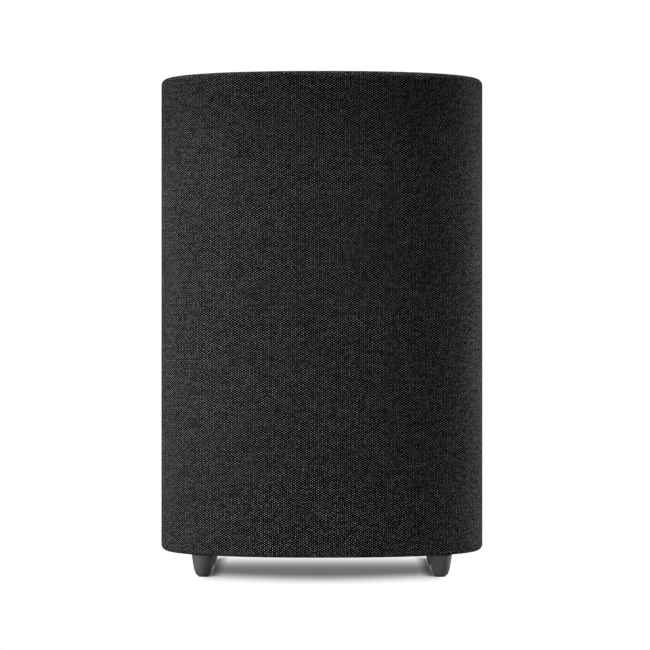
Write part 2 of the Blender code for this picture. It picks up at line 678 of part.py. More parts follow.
def panel_plate(panel):
    """The flat plate that carries the inlet, the button, the lamp and its own four screws."""
    plastic = MATERIALS["moulding"]
    outline = rectangle_at(PANEL, PANEL_CORNER)
    plate = prism("rear_panel", outline, PANEL_BACK_Y, PANEL_FACE_Y, plastic, panel)
    hole_size = (INLET_BODY[0] + 2 * GAP, INLET_BODY[1] + 2 * GAP)
    outline = rectangle_at(hole_size, INLET_BODY_CORNER, INLET_AT, 2)
    combine(plate, helper(prism("inlet_cutout", outline, *THROUGH_Y, plastic, panel)))
    screw_places = [(PANEL_SCREWS[0] * x, PANEL_SCREWS[1] * z) for x in (-1, 1) for z in (-1, 1)]
    holes = [("button_hole", [BUTTON_AT], BUTTON_R + GAP, SMALL_STEPS)]
    holes += [("lamp_hole", [LED_AT], LED_R + GAP, SCREW_STEPS)]
    holes += [("panel_screw_holes", screw_places, PANEL_SCREW_R + GAP, SCREW_STEPS)]
    for name, places, radius, steps in holes:
        cutter = drills(name, places, radius, -THROUGH_Y[1], -THROUGH_Y[0], steps, panel)
        cutter.rotation_euler = (math.radians(90), 0, 0)
        combine(plate, cutter)
    seat = PANEL_FACE_Y + GAP
    head_r, head_h, length, socket_r = 2.8 * MM, 1.7 * MM, 12 * MM, 1.3 * MM
    rings = screw_rings(head_r, head_h, PANEL_SCREW_R, length, socket_r)
    names = [f"panel_screw_{i + 1}" for i in range(4)]
    seats = [(x, seat, z) for x, z in screw_places]
    screws(names, seats, rings, MATERIALS["painted_steel"], (math.radians(90), 0, 0), panel)
    return screw_places


def mains_inlet(panel):
    """A two-pole appliance inlet: a flanged block with a rounded socket and its pins."""
    plastic = MATERIALS["moulding"]
    flange_y = PANEL_FACE_Y + GAP
    flange_thick, depth = 1.8 * MM, 20 * MM
    flange_corner, socket_corner = 2.5 * MM, 4.4 * MM
    outline = rectangle_at(INLET_SIZE, flange_corner, INLET_AT, 2)
    inlet = prism("mains_inlet", outline, flange_y, flange_y + flange_thick, plastic, panel)
    outline = rectangle_at(INLET_BODY, INLET_BODY_CORNER, INLET_AT, 2)
    body = prism("inlet_body", outline, flange_y - depth, flange_y + MM, plastic, panel)
    combine(inlet, helper(body), "UNION")
    socket_size, socket_floor = (17.4 * MM, 9 * MM), flange_y - 13 * MM
    outline = rectangle_at(socket_size, socket_corner, INLET_AT)
    socket = prism("inlet_socket", outline, socket_floor, flange_y + 5 * MM, plastic, panel)
    combine(inlet, helper(socket))
    pin_r, pin_pitch, pin_steps, pin_end = 1.2 * MM, 8.6 * MM, 10, flange_y - 2 * MM
    steel = MATERIALS["plated_steel"]
    for name, side in (("left", -1), ("right", 1)):
        x = INLET_AT[0] + side * pin_pitch / 2
        outline = [(x + p[0], INLET_AT[1] + p[1]) for p in circle(pin_r, 0, pin_steps)]
        pin = prism("inlet_pin_" + name, outline, socket_floor - MM, pin_end, steel, panel)
        combine(inlet, helper(pin), "UNION")


def button_and_lamp(panel):
    """The pairing button with its captive collar, its tactile switch and the lamp's light guide."""
    edge, edge_y, proud, collar_r, stem_r = 0.8 * MM, 0.6 * MM, 1.0 * MM, 7 * MM, 2 * MM
    front, stem_end = PANEL_FACE_Y + proud, 73.3 * MM
    collar, behind = PANEL_BACK_Y - GAP, PANEL_BACK_Y - 1.8 * MM
    profile = [(BUTTON_R - edge, -front), (BUTTON_R, -front + edge_y), (BUTTON_R, -collar)]
    profile += [(collar_r, -collar), (collar_r, -behind), (stem_r, -behind), (stem_r, -stem_end)]
    cap = turned("pairing_button", profile, MATERIALS["moulding"], steps=SMALL_STEPS, parent=panel)
    facing_back(cap, BUTTON_AT, 0)
    tactile_switch(panel)

    board_gap, rim, dome = 1.5 * MM, MM, 0.4 * MM
    guide = [(LED_R - dome, -PANEL_FACE_Y - dome), (LED_R, -PANEL_FACE_Y), (LED_R, -collar)]
    guide += [(LED_R + rim, -collar), (LED_R + rim, -behind), (LED_R, -behind)]
    guide += [(LED_R, -(BOARD_FACE_Y + board_gap))]
    lens = turned("lamp_lens", guide, MATERIALS["lens"], steps=SCREW_STEPS, parent=panel)
    facing_back(lens, LED_AT, 0)


def tactile_switch(panel):
    """The switch on the amplifier board, and the plunger that moves in its well."""
    plunger_r, plunger, half = 1.6 * MM, (69.5 * MM, 73.0 * MM), 3 * MM
    case_y, well_floor, well_end = 71 * MM, 68.3 * MM, 75 * MM
    profile = [(plunger_r, -plunger[1]), (plunger_r, -plunger[0])]
    tip = turned("switch_plunger", profile, MATERIALS["lens"], steps=SCREW_STEPS, parent=panel)
    facing_back(tip, BUTTON_AT, 0)
    x, z = BUTTON_AT
    low, high = (x - half, BOARD_FACE_Y, z - half), (x + half, case_y, z + half)
    switch = block("tactile_switch", low, high, MATERIALS["painted_steel"], panel)
    profile = [(plunger_r + GAP, -well_end), (plunger_r + GAP, -well_floor)]
    well = turned("switch_well", profile, MATERIALS["moulding"], steps=SCREW_STEPS, parent=panel)
    combine(switch, helper(facing_back(well, BUTTON_AT, 0)))


def amplifier_housing(panel, screw_places):
    """The sealed box behind the panel, with a boss for each of its screws."""
    back, plastic = PANEL_BACK_Y - GAP, MATERIALS["moulding"]
    front = back - HOUSING_DEPTH
    corner, cavity_corner = 6 * MM, 4 * MM
    outline = rectangle_at(HOUSING, corner, steps=2)
    box = prism("amplifier_housing", outline, front, back, plastic, panel)
    cavity_size = (HOUSING[0] - 2 * HOUSING_WALL, HOUSING[1] - 2 * HOUSING_WALL)
    outline = rectangle_at(cavity_size, cavity_corner, steps=2)
    low, high = front + HOUSING_WALL, back + 5 * MM
    combine(box, helper(prism("housing_cavity", outline, low, high, plastic, panel)))
    boss_r, boss_steps, pilot_end = 4 * MM, 10, 68 * MM
    for i, (x, z) in enumerate(screw_places):
        outline = [(x + p[0], z + p[1]) for p in circle(boss_r, 0, boss_steps)]
        boss = prism(f"housing_boss_{i}", outline, front + MM, back, plastic, panel)
        combine(box, helper(boss), "UNION")
    pilot_r = PANEL_SCREW_R + GAP
    pilots = drills("boss_pilots", screw_places, pilot_r, -THROUGH_Y[1], -pilot_end, parent=panel)
    pilots.rotation_euler = (math.radians(90), 0, 0)
    combine(box, pilots)


def circuit_boards(panel):
    """The amplifier board, cut away round the inlet, and the supply board in front of it."""
    half_x, half_z, board = 37 * MM, 36 * MM, MATERIALS["circuit"]
    clear_x = INLET_AT[0] + INLET_SIZE[0] / 2
    clear_z = INLET_AT[1] + INLET_SIZE[1] / 2 + MM
    outline = [(-half_x, half_z), (-half_x, clear_z), (clear_x, clear_z)]
    outline += [(clear_x, -half_z), (half_x, -half_z), (half_x, half_z)]
    main_back = MAIN_BOARD_Y + CIRCUIT_THICK
    prism("amplifier_board", outline, MAIN_BOARD_Y, main_back, board, panel)
    low, high = (-half_x, POWER_BOARD_Y, -half_z), (half_x, POWER_BOARD_Y + CIRCUIT_THICK, half_z)
    block("supply_board", low, high, board, panel)


def board_components(panel):
    """The transformer, the bulk capacitor, the wireless module and the heat sink."""
    on_power = POWER_BOARD_Y + CIRCUIT_THICK + GAP
    low = (-30 * MM, on_power, 8 * MM)
    high = (-4 * MM, on_power + 18 * MM, 32 * MM)
    core_edge, lid_edge = 1.5 * MM, 0.5 * MM
    soften(block("transformer", low, high, MATERIALS["ferrite"], panel), core_edge)

    can_r, can_h, can_edge, can_x, can_z = 8 * MM, 21 * MM, MM, 14 * MM, -20 * MM
    can = [(can_r, 0), (can_r, can_h - can_edge), (can_r - can_edge, can_h)]
    capacitor = turned("bulk_capacitor", can, MATERIALS["film"], steps=SMALL_STEPS, parent=panel)
    capacitor.rotation_euler = (math.radians(-90), 0, 0)
    capacitor.location = (can_x, on_power, can_z)

    low = (-30 * MM, BOARD_FACE_Y, 14 * MM)
    high = (-8 * MM, BOARD_FACE_Y + 2.6 * MM, 30 * MM)
    soften(block("wireless_module", low, high, MATERIALS["aluminium"], panel), lid_edge)
    heat_sink(panel)


def heat_sink(panel):
    """An extrusion on the front of the amplifier board, its fins pointing forwards."""
    fins, pitch, fin_thick, root_thick = 6, 5.2 * MM, 1.6 * MM, 2.5 * MM
    root_y, tip_y = MAIN_BOARD_Y - GAP, MAIN_BOARD_Y - 14 * MM
    side, low, high = 3 * MM, 2 * MM, 32 * MM
    outline = [(side, root_y)]
    for i in range(fins):
        x = side + i * pitch
        outline += [(x, tip_y), (x + fin_thick, tip_y)]
        if i < fins - 1:
            outline += [(x + fin_thick, root_y - root_thick), (x + pitch, root_y - root_thick)]
    width = (fins - 1) * pitch + fin_thick
    outline.append((side + width, root_y))
    rings = [[(x, y, z) for x, y in outline] for z in (low, high)]
    loft("heat_sink", rings, MATERIALS["aluminium"], parent=panel)


def woofer_cable():
    """The cable from the amplifier housing down to the woofer's tag strip."""
    cable_r, bow = 1.5 * MM, 4 * MM
    tag_top = FOOT_HEIGHT + 50 * MM
    top = PANEL_Z - HOUSING[1] / 2 - 2 * GAP
    path = [(0, 60 * MM, top), (0, 58 * MM, 130 * MM), (bow, 54 * MM, 100 * MM)]
    path += [(0, 50 * MM, tag_top + 2 * MM)]
    wire("woofer_cable", path, cable_r, MATERIALS["rubber"])


# ---------------------------------------------------------------- assembly

for old in list(bpy.data.objects):
    bpy.data.objects.remove(old)

MATERIALS = make_materials()
shell = cabinet_shell()
sleeve = fabric_sleeve()
baffle, base = boards_and_covers()
reflex_port()
feet()
open_the_base(baffle, base, woofer())
panel_frame = place("rear_panel_frame", None, location=(0, 0, PANEL_Z))
cut_the_opening(shell, sleeve, panel_frame)
bezel(panel_frame)
boss_places = panel_plate(panel_frame)
mains_inlet(panel_frame)
button_and_lamp(panel_frame)
amplifier_housing(panel_frame, boss_places)
circuit_boards(panel_frame)
board_components(panel_frame)
woofer_cable()
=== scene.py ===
"""The looks of the upright subwoofer: woven sleeve, moulded covers and feet, woofer, port, rear panel.

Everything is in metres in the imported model's own frame: +Z up, front facing -Y.
"""

import json
from math import asin, atan2, cos, degrees, dist, exp, hypot, pi, radians, sin, sqrt

import bmesh
import bpy
import numpy as np
from mathutils import Matrix, Vector, noise


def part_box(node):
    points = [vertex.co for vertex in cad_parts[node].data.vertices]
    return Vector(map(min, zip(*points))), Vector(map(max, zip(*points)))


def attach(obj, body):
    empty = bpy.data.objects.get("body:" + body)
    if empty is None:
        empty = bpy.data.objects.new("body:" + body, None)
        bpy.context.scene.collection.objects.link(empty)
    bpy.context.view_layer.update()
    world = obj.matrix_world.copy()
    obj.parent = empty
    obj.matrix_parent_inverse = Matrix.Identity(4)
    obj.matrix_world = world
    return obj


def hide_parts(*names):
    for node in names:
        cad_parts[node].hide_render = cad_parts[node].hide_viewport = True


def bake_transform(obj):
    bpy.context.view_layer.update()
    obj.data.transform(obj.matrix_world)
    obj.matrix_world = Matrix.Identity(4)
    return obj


MM = 0.001


def mm(*lengths):
    """Lengths in millimetres, as metres."""
    return [length * MM for length in lengths]


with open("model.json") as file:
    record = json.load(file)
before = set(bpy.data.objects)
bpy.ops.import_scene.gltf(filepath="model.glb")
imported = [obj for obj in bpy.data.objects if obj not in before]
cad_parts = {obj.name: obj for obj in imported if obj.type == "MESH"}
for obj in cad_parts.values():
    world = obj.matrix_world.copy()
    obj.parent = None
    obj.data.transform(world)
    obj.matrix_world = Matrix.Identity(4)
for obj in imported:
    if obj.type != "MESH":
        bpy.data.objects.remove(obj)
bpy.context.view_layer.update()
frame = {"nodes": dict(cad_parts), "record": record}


def middle_of(node):
    """The middle of a node's box in plan, and half its width."""
    low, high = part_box(node)
    return Vector(((low.x + high.x) / 2, (low.y + high.y) / 2)), (high.x - low.x) / 2


def heights_of(node):
    return [corner.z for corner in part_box(node)]


# ---- sizes, from the frame

SLEEVE_LOW, SLEEVE_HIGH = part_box("fabric_sleeve")
HALF_X, HALF_Y = SLEEVE_HIGH.x, SLEEVE_HIGH.y
PLAN_POWER = 2.27
EDGE_RADIUS = 6 * MM
CLOTH = 1.2 * MM
GAP = 0.3 * MM
COVER_INSET = HALF_X - middle_of("top_cover")[1]
HEM_INSET = COVER_INSET - GAP
FLANGE_Z = heights_of("woofer_basket")[0]
FLANGE_R = middle_of("woofer_basket")[1]
FOOT_X, FOOT_Y = middle_of("foot_rear_right")[0]
PORT_AT, PORT_R = middle_of("reflex_port")
PANEL_LOW, PANEL_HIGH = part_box("rear_panel")
PANEL_Z = (PANEL_LOW.z + PANEL_HIGH.z) / 2
PANEL_FACE_Y = PANEL_HIGH.y

# The stage. Azimuths are degrees from the front, with positive to the right.
SURROUND_SEEN, SURROUND_CAST = 1.05, 0.04
UNDERSIDE_GLOW = 1.1
SHADE_DARKEST = 0.165
SHADE_FRONT, SHADE_BACK, SHADE_SIDE = (0.03, 0.142), (-0.0138, 0.162), (0.112, 0.124)
# The painted shade band past each side's two feet: its front and back ends, its soft edge, its depth.
BAND_FRONT, BAND_BACK, BAND_EDGE, BAND_DARKEST = -0.044, (0.09, 0.15), (0.009, 0.0185), 0.28
SOFT_BOXES = (
    # name, azimuth, distance, height, (width, height), power, spread in degrees
    ("left_box", -66, 1.9, 0.25, (0.7, 0.9), 36),
    ("right_box", 116, 1.9, 0.25, (0.7, 0.9), 43),
    ("front_fill", 8, 3.2, 0.9, (0.5, 0.5), 16),
    ("top_box", 0, 0, 1.2, (0.3, 0.16), 0.5, 16),
)

# Facets.
OVAL_STEPS = 360
ROUND_STEPS = 128
FINE_STEPS = 64
SMALL_STEPS = 40
SCREW_STEPS = 36
SHARP_ANGLE = radians(38)

# The camera: level, square to the front, at about half the object's height. Its sensor and lens are in
# millimetres, and its shift is a share of the frame's width.
CAMERA_DISTANCE = 2.222
CAMERA_Z = 0.2606
SENSOR = 36
LENS = 120.905
VIEW_SHIFT = 0.00477


# ---- shader building


class Shader:
    """A material or world under construction. Every method adds nodes and returns an output socket."""

    def __init__(self, name, kind=bpy.data.materials):
        self.material = kind.new(name)
        self.material.use_nodes = True
        self.tree = self.material.node_tree
        self.bsdf = self.tree.nodes.get("Principled BSDF")

    def node(self, kind, inputs=None, **settings):
        node = self.tree.nodes.new("ShaderNode" + kind)
        for key, value in settings.items():
            setattr(node, key, value)
        for key, value in (inputs or {}).items():
            self.feed(node.inputs[key], value)
        return node

    def feed(self, socket, value):
        if isinstance(value, bpy.types.NodeSocket):
            self.tree.links.new(value, socket)
        elif socket.type == "RGBA":
            socket.default_value = (*value, 1.0)
        else:
            socket.default_value = value

    def math(self, operation, *values, clamp=False):
        inputs = dict(enumerate(values))
        return self.node("Math", inputs, operation=operation, use_clamp=clamp).outputs[0]

    def add(self, first, second):
        return self.math("ADD", first, second)

    def multiply(self, first, *others):
        for other in others:
            first = self.math("MULTIPLY", first, other)
        return first

    def most(self, first, second):
        return self.math("MAXIMUM", first, second)

    def ramp(self, value, low, high, to_low=0.0, to_high=1.0, smooth=False):
        """The value's range from low to high, as to_low to to_high."""
        kind = "SMOOTHSTEP" if smooth else "LINEAR"
        inputs = {"Value": value, "From Min": low, "From Max": high, "To Min": to_low, "To Max": to_high}
        return self.node("MapRange", inputs, interpolation_type=kind).outputs[0]

    def spread(self, noise, low, high):
        """A noise's usual range as low to high."""
        return self.ramp(noise, 0.3, 0.7, low, high)

    def mix(self, factor, first, second):
        return self.node("Mix", {0: factor, 6: first, 7: second}, data_type="RGBA").outputs[2]

    def scaled(self, colour, value):
        return self.node("VectorMath", {0: colour, 3: value}, operation="SCALE").outputs[0]

    def tinted(self, colour, noise, low, high):
        """A colour times a noise's usual range as low to high."""
        return self.scaled(colour, self.spread(noise, low, high))

    def split(self, vector=None):
        """The x, y and z of a vector, or of the position."""
        return self.node("SeparateXYZ", {0: vector or self.place()}).outputs

    def join(self, x, y):
        return self.node("CombineXYZ", {0: x, 1: y}).outputs[0]

    def place(self, *stretch):
        """The position in the shared frame, stretched along each axis."""
        where = self.node("TexCoord").outputs["Object"]
        return self.node("Mapping", {0: where, "Scale": stretch or (1, 1, 1)}).outputs[0]

    def noise(self, size, detail=2.0, where=None, roughness=0.5):
        """Smooth noise from 0 to 1 whose features are about size millimetres across."""
        inputs = {"Vector": where or self.place(), "Scale": 1 / (size * MM), "Detail": detail}
        return self.node("TexNoise", {**inputs, "Roughness": roughness}).outputs["Fac"]

    def cells(self, size, feature="F1", where=None):
        inputs = {"Vector": where or self.place(), "Scale": 1 / (size * MM)}
        return self.node("TexVoronoi", inputs, feature=feature).outputs["Distance"]

    def relief(self, height, depth, strength=1.0):
        """Bump from a height of 0 to 1 that stands for depth millimetres."""
        bump = self.node("Bump", {"Height": height, "Distance": depth * MM, "Strength": strength})
        self.feed(self.bsdf.inputs["Normal"], bump.outputs[0])

    def edge(self, radius):
        """1 on edges within radius millimetres, 0 on flat ground."""
        bevel = self.node("Bevel", {"Radius": radius * MM}, samples=4).outputs[0]
        normal = self.node("NewGeometry").outputs["Normal"]
        dot = self.node("VectorMath", {0: bevel, 1: normal}, operation="DOT_PRODUCT")
        return self.ramp(dot.outputs["Value"], 0.995, 0.9)

    def finish(self, colour, roughness, **others):
        for key, value in {"Base_Color": colour, "Roughness": roughness, **others}.items():
            self.feed(self.bsdf.inputs[key.replace("_", " ")], value)
        return self.material


# ---- materials

WARP_PITCH = 1.96 * MM
WEFT_PITCH = 1.19 * MM
# The painted highlight on each weft float's crown: its reflectance, and how sharply it falls off across
# the yarn and towards its ends.
WEFT_HIGHLIGHT, WEFT_ACROSS, WEFT_ENDS = 0.71, 18, 5
WARP_DARK = 0.002


def woven_cloth():
    """Charcoal plain weave in a checkerboard: near-black warp floats, and weft floats that carry a
    painted highlight on their crowns, with painted shade darkening the cloth towards the top and the
    bottom.
    """
    s = Shader("woven_cloth")
    uv = s.split(s.node("UVMap", uv_map="weave").outputs[0])
    wander = s.multiply(s.add(s.noise(28, 1), -0.5), 0.9)
    along = s.add(s.math("DIVIDE", uv[0], WARP_PITCH), wander)
    up = s.add(s.math("DIVIDE", uv[1], WEFT_PITCH), s.multiply(wander, 0.7))
    column, row = s.math("FLOOR", along), s.math("FLOOR", up)
    across_warp = s.math("ABSOLUTE", s.add(s.math("FRACT", along), -0.5))
    across_weft = s.math("ABSOLUTE", s.add(s.math("FRACT", up), -0.5))
    parity = s.math("FLOORED_MODULO", s.add(column, row), 2)
    weft_float = s.math("SUBTRACT", 1, parity)

    def crown(distance, limit):
        """A round yarn's height across its width: 1 on its back and 0 at limit."""
        square = s.math("POWER", s.math("DIVIDE", distance, limit), 2)
        return s.math("SQRT", s.math("SUBTRACT", 1, square, clamp=True))

    weft_bend = s.math("COSINE", s.multiply(across_warp, 2.5))
    weft_back = crown(across_weft, 0.5)
    warp = s.multiply(crown(across_warp, 0.46), s.math("COSINE", s.multiply(across_weft, 2.7)))
    height = s.add(s.multiply(weft_back, weft_bend, weft_float), s.multiply(warp, parity, 0.72))

    def streak(stretch_along, stretch_up, low, high):
        """Slubs: threads that run thicker or thinner for a way."""
        where = s.join(s.multiply(along, stretch_along), s.multiply(up, stretch_up))
        return s.spread(s.noise(1 / MM, 1.5, where), low, high)

    chance = s.node("TexWhiteNoise", {"Vector": s.join(column, row)}, noise_dimensions="2D")
    melange = s.ramp(chance.outputs["Value"], 0, 1, 0.5, 1.5)
    pick = s.ramp(s.math("FLOORED_MODULO", row, 2), 0, 1, 0.88, 1.12)
    slub = s.multiply(streak(0.05, 0.9, 0.76, 1.24), streak(0.7, 0.03, 0.92, 1.08))
    level = s.split()[2]
    # Painted shade: the cloth's colour darkens towards the top rim.
    painted_top_shade = s.ramp(level, 0.40, SLEEVE_HIGH.z, 1, 0.72, smooth=True)
    # Painted shade: the cloth's colour darkens towards the floor.
    painted_floor_shade = s.ramp(level, SLEEVE_LOW.z, 0.22, 0.93, 1)
    # tone is the yarn's own melange, picks and slubs times the painted shade at the top and the bottom.
    tone = s.multiply(melange, pick, slub, painted_top_shade, painted_floor_shade)
    # Painted highlight: a narrow bright streak on the crown of each weft float, put into its colour.
    painted_crown_highlight = s.multiply(s.math("POWER", weft_back, WEFT_ACROSS), s.math("POWER", weft_bend, WEFT_ENDS))
    painted_weft_highlight = s.multiply(painted_crown_highlight, weft_float, WEFT_HIGHLIGHT)
    dark_warp = s.multiply(warp, parity, WARP_DARK)
    colour = s.scaled((1, 1, 1.012), s.multiply(s.add(painted_weft_highlight, dark_warp), tone))
    fibre = s.noise(0.25, 2)
    s.relief(s.add(height, s.multiply(fibre, 0.25)), 0.35, 0.8)
    return s.finish(colour, s.ramp(fibre, 0.2, 0.8, 0.8, 1), Specular_IOR_Level=0.03)


def moulded(name, colour, roughness, grain=0.55):
    """Matte moulded plastic: a spark-eroded grain, uneven sheen, and edges rubbed lighter."""
    s = Shader(name)
    pits = s.cells(grain)
    fine = s.noise(grain * 0.4, 3)
    cloud = s.noise(60, 3)
    s.relief(s.add(pits, s.multiply(fine, 0.6)), 0.035)
    tone = s.multiply(s.spread(cloud, 0.9, 1.1), s.ramp(pits, 0, 0.7, 0.88, 1.08))
    rubbed = s.ramp(s.edge(0.8), 0, 1, 1, 1.35)
    sheen = s.spread(cloud, roughness - 0.05, roughness + 0.05)
    gloss = s.add(s.ramp(fine, 0.2, 0.8, -0.05, 0.07), sheen)
    return s.finish(s.scaled(colour, s.multiply(tone, rubbed)), gloss)


def soft_rubber(name, colour):
    """Rubber with a faint bloom and fine moulding haze."""
    s = Shader(name)
    haze = s.noise(9, 4)
    fine = s.noise(0.3, 2)
    s.relief(fine, 0.03)
    colour = s.scaled(colour, s.ramp(haze, 0.4, 0.75, 1, 2.2))
    return s.finish(colour, s.spread(haze, 0.55, 0.75))


def closed_foam():
    s = Shader("closed_foam")
    bubbles = s.cells(0.5)
    s.relief(bubbles, 0.2)
    return s.finish(s.scaled((0.028, 0.028, 0.029), s.ramp(bubbles, 0, 0.7, 0.5, 1.3)), 0.95)


def paper_pulp():
    """Pressed cone paper: long matted fibres, mottled by the press and coated."""
    s = Shader("paper_pulp")
    fibres = s.noise(1.1, 4, s.place(1, 2.6, 1), 0.7)
    crossed = s.noise(1.1, 4, s.place(2.6, 1, 1), 0.7)
    mottle = s.noise(7, 3)
    mat = s.multiply(s.add(fibres, crossed), 0.5)
    s.relief(mat, 0.12)
    colour = s.mix(s.ramp(mat, 0.38, 0.62), (0.016, 0.016, 0.017), (0.060, 0.059, 0.058))
    return s.finish(s.tinted(colour, mottle, 0.8, 1.2), s.ramp(mat, 0.35, 0.65, 0.7, 0.9))


def stiffened_cloth():
    """The spider's resin-treated weave."""
    s = Shader("stiffened_cloth")
    thread = 2 * pi / (2.856 * MM)
    where = s.split(s.place(thread, thread, thread))
    weave = s.ramp(s.multiply(s.math("SINE", where[0]), s.math("SINE", where[1])), -1, 1)
    resin = s.noise(5, 3)
    s.relief(weave, 0.15)
    colour = s.mix(weave, (0.22, 0.13, 0.045), (0.55, 0.38, 0.17))
    return s.finish(s.tinted(colour, resin, 0.8, 1.15), s.spread(resin, 0.55, 0.8))


def loose_felt():
    s = Shader("loose_felt")
    hair = s.noise(0.9, 6, None, 0.75)
    lumps = s.noise(14, 2)
    s.relief(s.add(hair, lumps), 1.2)
    colour = s.mix(hair, (0.12, 0.115, 0.105), (0.44, 0.43, 0.40))
    return s.finish(s.tinted(colour, lumps, 0.8, 1.15), 1, Sheen_Weight=0.3)


def fibreboard():
    """Bare medium-density board: compacted fibres and a few darker shives."""
    s = Shader("fibreboard")
    fibres = s.noise(0.8, 5, s.place(1, 1, 3), 0.7)
    shive = s.ramp(s.noise(2.2, 2, s.place(0.4, 1.6, 1)), 0.68, 0.75)
    s.relief(fibres, 0.12)
    colour = s.mix(fibres, (0.26, 0.17, 0.095), (0.50, 0.37, 0.24))
    return s.finish(s.mix(shive, colour, (0.13, 0.075, 0.04)), s.spread(fibres, 0.75, 0.92))


def metal(name, colour, roughness, stretch):
    """Bare metal with drawn or turned lines along the axis that stretch leaves short."""
    s = Shader(name)
    lines = s.noise(0.7, 5, s.place(*stretch), 0.65)
    stain = s.noise(11, 3)
    s.relief(lines, 0.02)
    tone = s.multiply(s.spread(lines, 0.86, 1.1), s.spread(stain, 0.88, 1.06))
    gloss = s.add(s.spread(lines, -0.06, 0.1), s.spread(stain, roughness, roughness + 0.08))
    return s.finish(s.scaled(colour, tone), gloss, Metallic=1)


def powder_coat():
    """Black powder coat: orange peel, with metal showing faintly on its edges."""
    s = Shader("powder_coat")
    peel = s.noise(0.8, 2)
    cloud = s.noise(20, 3)
    s.relief(peel, 0.05)
    colour = s.mix(s.ramp(s.edge(0.5), 0.55, 1), (0.018, 0.018, 0.019), (0.085, 0.085, 0.09))
    return s.finish(s.tinted(colour, cloud, 0.9, 1.15), s.spread(peel, 0.36, 0.5))


def ferrite():
    s = Shader("ferrite")
    grit = s.noise(0.4, 4, None, 0.7)
    chip = s.ramp(s.cells(6), 0, 0.12)
    s.relief(grit, 0.06)
    colour = s.mix(chip, (0.10, 0.10, 0.105), (0.045, 0.045, 0.05))
    return s.finish(s.tinted(colour, grit, 0.8, 1.2), s.spread(grit, 0.5, 0.7))


def wound_copper():
    """Enamelled turns of wire, one above the other."""
    s = Shader("wound_copper")
    turn = s.math("ABSOLUTE", s.math("SINE", s.multiply(s.split()[2], pi / (0.3 * MM))))
    s.relief(turn, 0.12)
    tarnish = s.noise(6, 3)
    colour = s.mix(turn, (0.20, 0.06, 0.02), (0.80, 0.33, 0.14))
    return s.finish(s.tinted(colour, tarnish, 0.8, 1.1), s.spread(tarnish, 0.22, 0.4), Metallic=1)


def amber_film():
    s = Shader("amber_film")
    lap = s.math("FRACT", s.math("DIVIDE", s.split()[2], 5 * MM))
    haze = s.noise(4, 3)
    s.relief(s.ramp(lap, 0, 0.06), 0.1)
    colour = s.mix(s.spread(haze, 0, 1), (0.30, 0.11, 0.015), (0.48, 0.22, 0.05))
    return s.finish(colour, s.spread(haze, 0.2, 0.4))


def solder_mask():
    """Green mask over copper tracks, with pale solder joints."""
    s = Shader("solder_mask")
    tracks = s.ramp(s.cells(5, "DISTANCE_TO_EDGE"), 0.05, 0.08)
    joints = s.ramp(s.cells(3.3), 0.16, 0.13)
    s.relief(s.add(s.multiply(tracks, -0.4), joints), 0.08)
    colour = s.mix(tracks, (0.045, 0.20, 0.075), (0.012, 0.085, 0.035))
    colour = s.mix(joints, colour, (0.55, 0.56, 0.56))
    return s.finish(colour, s.ramp(joints, 0, 1, 0.42, 0.25), Metallic=s.multiply(joints, 0.9))


def milky_lens():
    s = Shader("milky_lens")
    cloud = s.noise(1.2, 2)
    s.relief(cloud, 0.01)
    colour = s.mix(cloud, (0.62, 0.66, 0.68), (0.80, 0.83, 0.84))
    gloss = s.spread(cloud, 0.12, 0.22)
    return s.finish(colour, gloss, Subsurface_Weight=0.2, Subsurface_Scale=MM)


def braided_copper():
    s = Shader("braided_copper")
    strands = s.cells(0.5, where=s.place(1, 1, 0.45))
    s.relief(strands, 0.15)
    colour = s.mix(s.ramp(strands, 0, 0.6), (0.80, 0.42, 0.22), (0.25, 0.10, 0.05))
    return s.finish(colour, s.ramp(strands, 0, 0.6, 0.28, 0.5), Metallic=1)


def floor_white():
    """A pale seamless floor with a soft shade between the feet. From below it is clear."""
    s = Shader("floor_white")
    where = s.split()
    aside, back = s.math("ABSOLUTE", where[0]), where[1]
    ahead = s.add(s.multiply(back, -1), s.multiply(s.math("POWER", aside, 1.6), 0.95))
    front = s.ramp(ahead, *SHADE_FRONT, smooth=True)
    behind = s.math("POWER", s.ramp(back, *SHADE_BACK, smooth=True), 1.65)
    beside = s.ramp(aside, *SHADE_SIDE, smooth=True)
    open_floor = s.most(s.most(front, behind), beside)
    past = s.most(s.add(s.multiply(back, -1), BAND_FRONT), 0)
    inwards = s.math("ABSOLUTE", s.add(aside, -FOOT_X))
    nearness = s.math("SQRT", s.add(s.multiply(past, past), s.multiply(inwards, inwards)))
    beyond = s.most(beside, s.ramp(back, *BAND_BACK, smooth=True))
    by_feet = s.most(s.ramp(nearness, *BAND_EDGE, BAND_DARKEST, 1), beyond)
    pale = s.multiply(s.ramp(open_floor, 0, 1, SHADE_DARKEST, 1), by_feet)
    strength = s.multiply(pale, s.spread(s.noise(300, 2), 1, 1.01))
    seen = s.node("Emission", {"Strength": strength}).outputs[0]
    under = s.multiply(s.ramp(aside, 0.085, 0.045), s.ramp(s.math("ABSOLUTE", back), 0.07, 0.04))
    glow = s.multiply(under, UNDERSIDE_GLOW)
    s.finish(s.scaled((0.8, 0.8, 0.8), pale), 0.9, Emission_Color=(1, 1, 1), Emission_Strength=glow)
    camera_ray = s.node("LightPath").outputs["Is Camera Ray"]
    surface = s.node("MixShader", {0: camera_ray, 1: s.bsdf.outputs[0], 2: seen}).outputs[0]
    below = s.node("NewGeometry").outputs["Backfacing"]
    clear = s.node("BsdfTransparent").outputs[0]
    seen_from_above = s.node("MixShader", {0: below, 1: surface, 2: clear}).outputs[0]
    s.feed(s.tree.nodes["Material Output"].inputs["Surface"], seen_from_above)
    return s.material


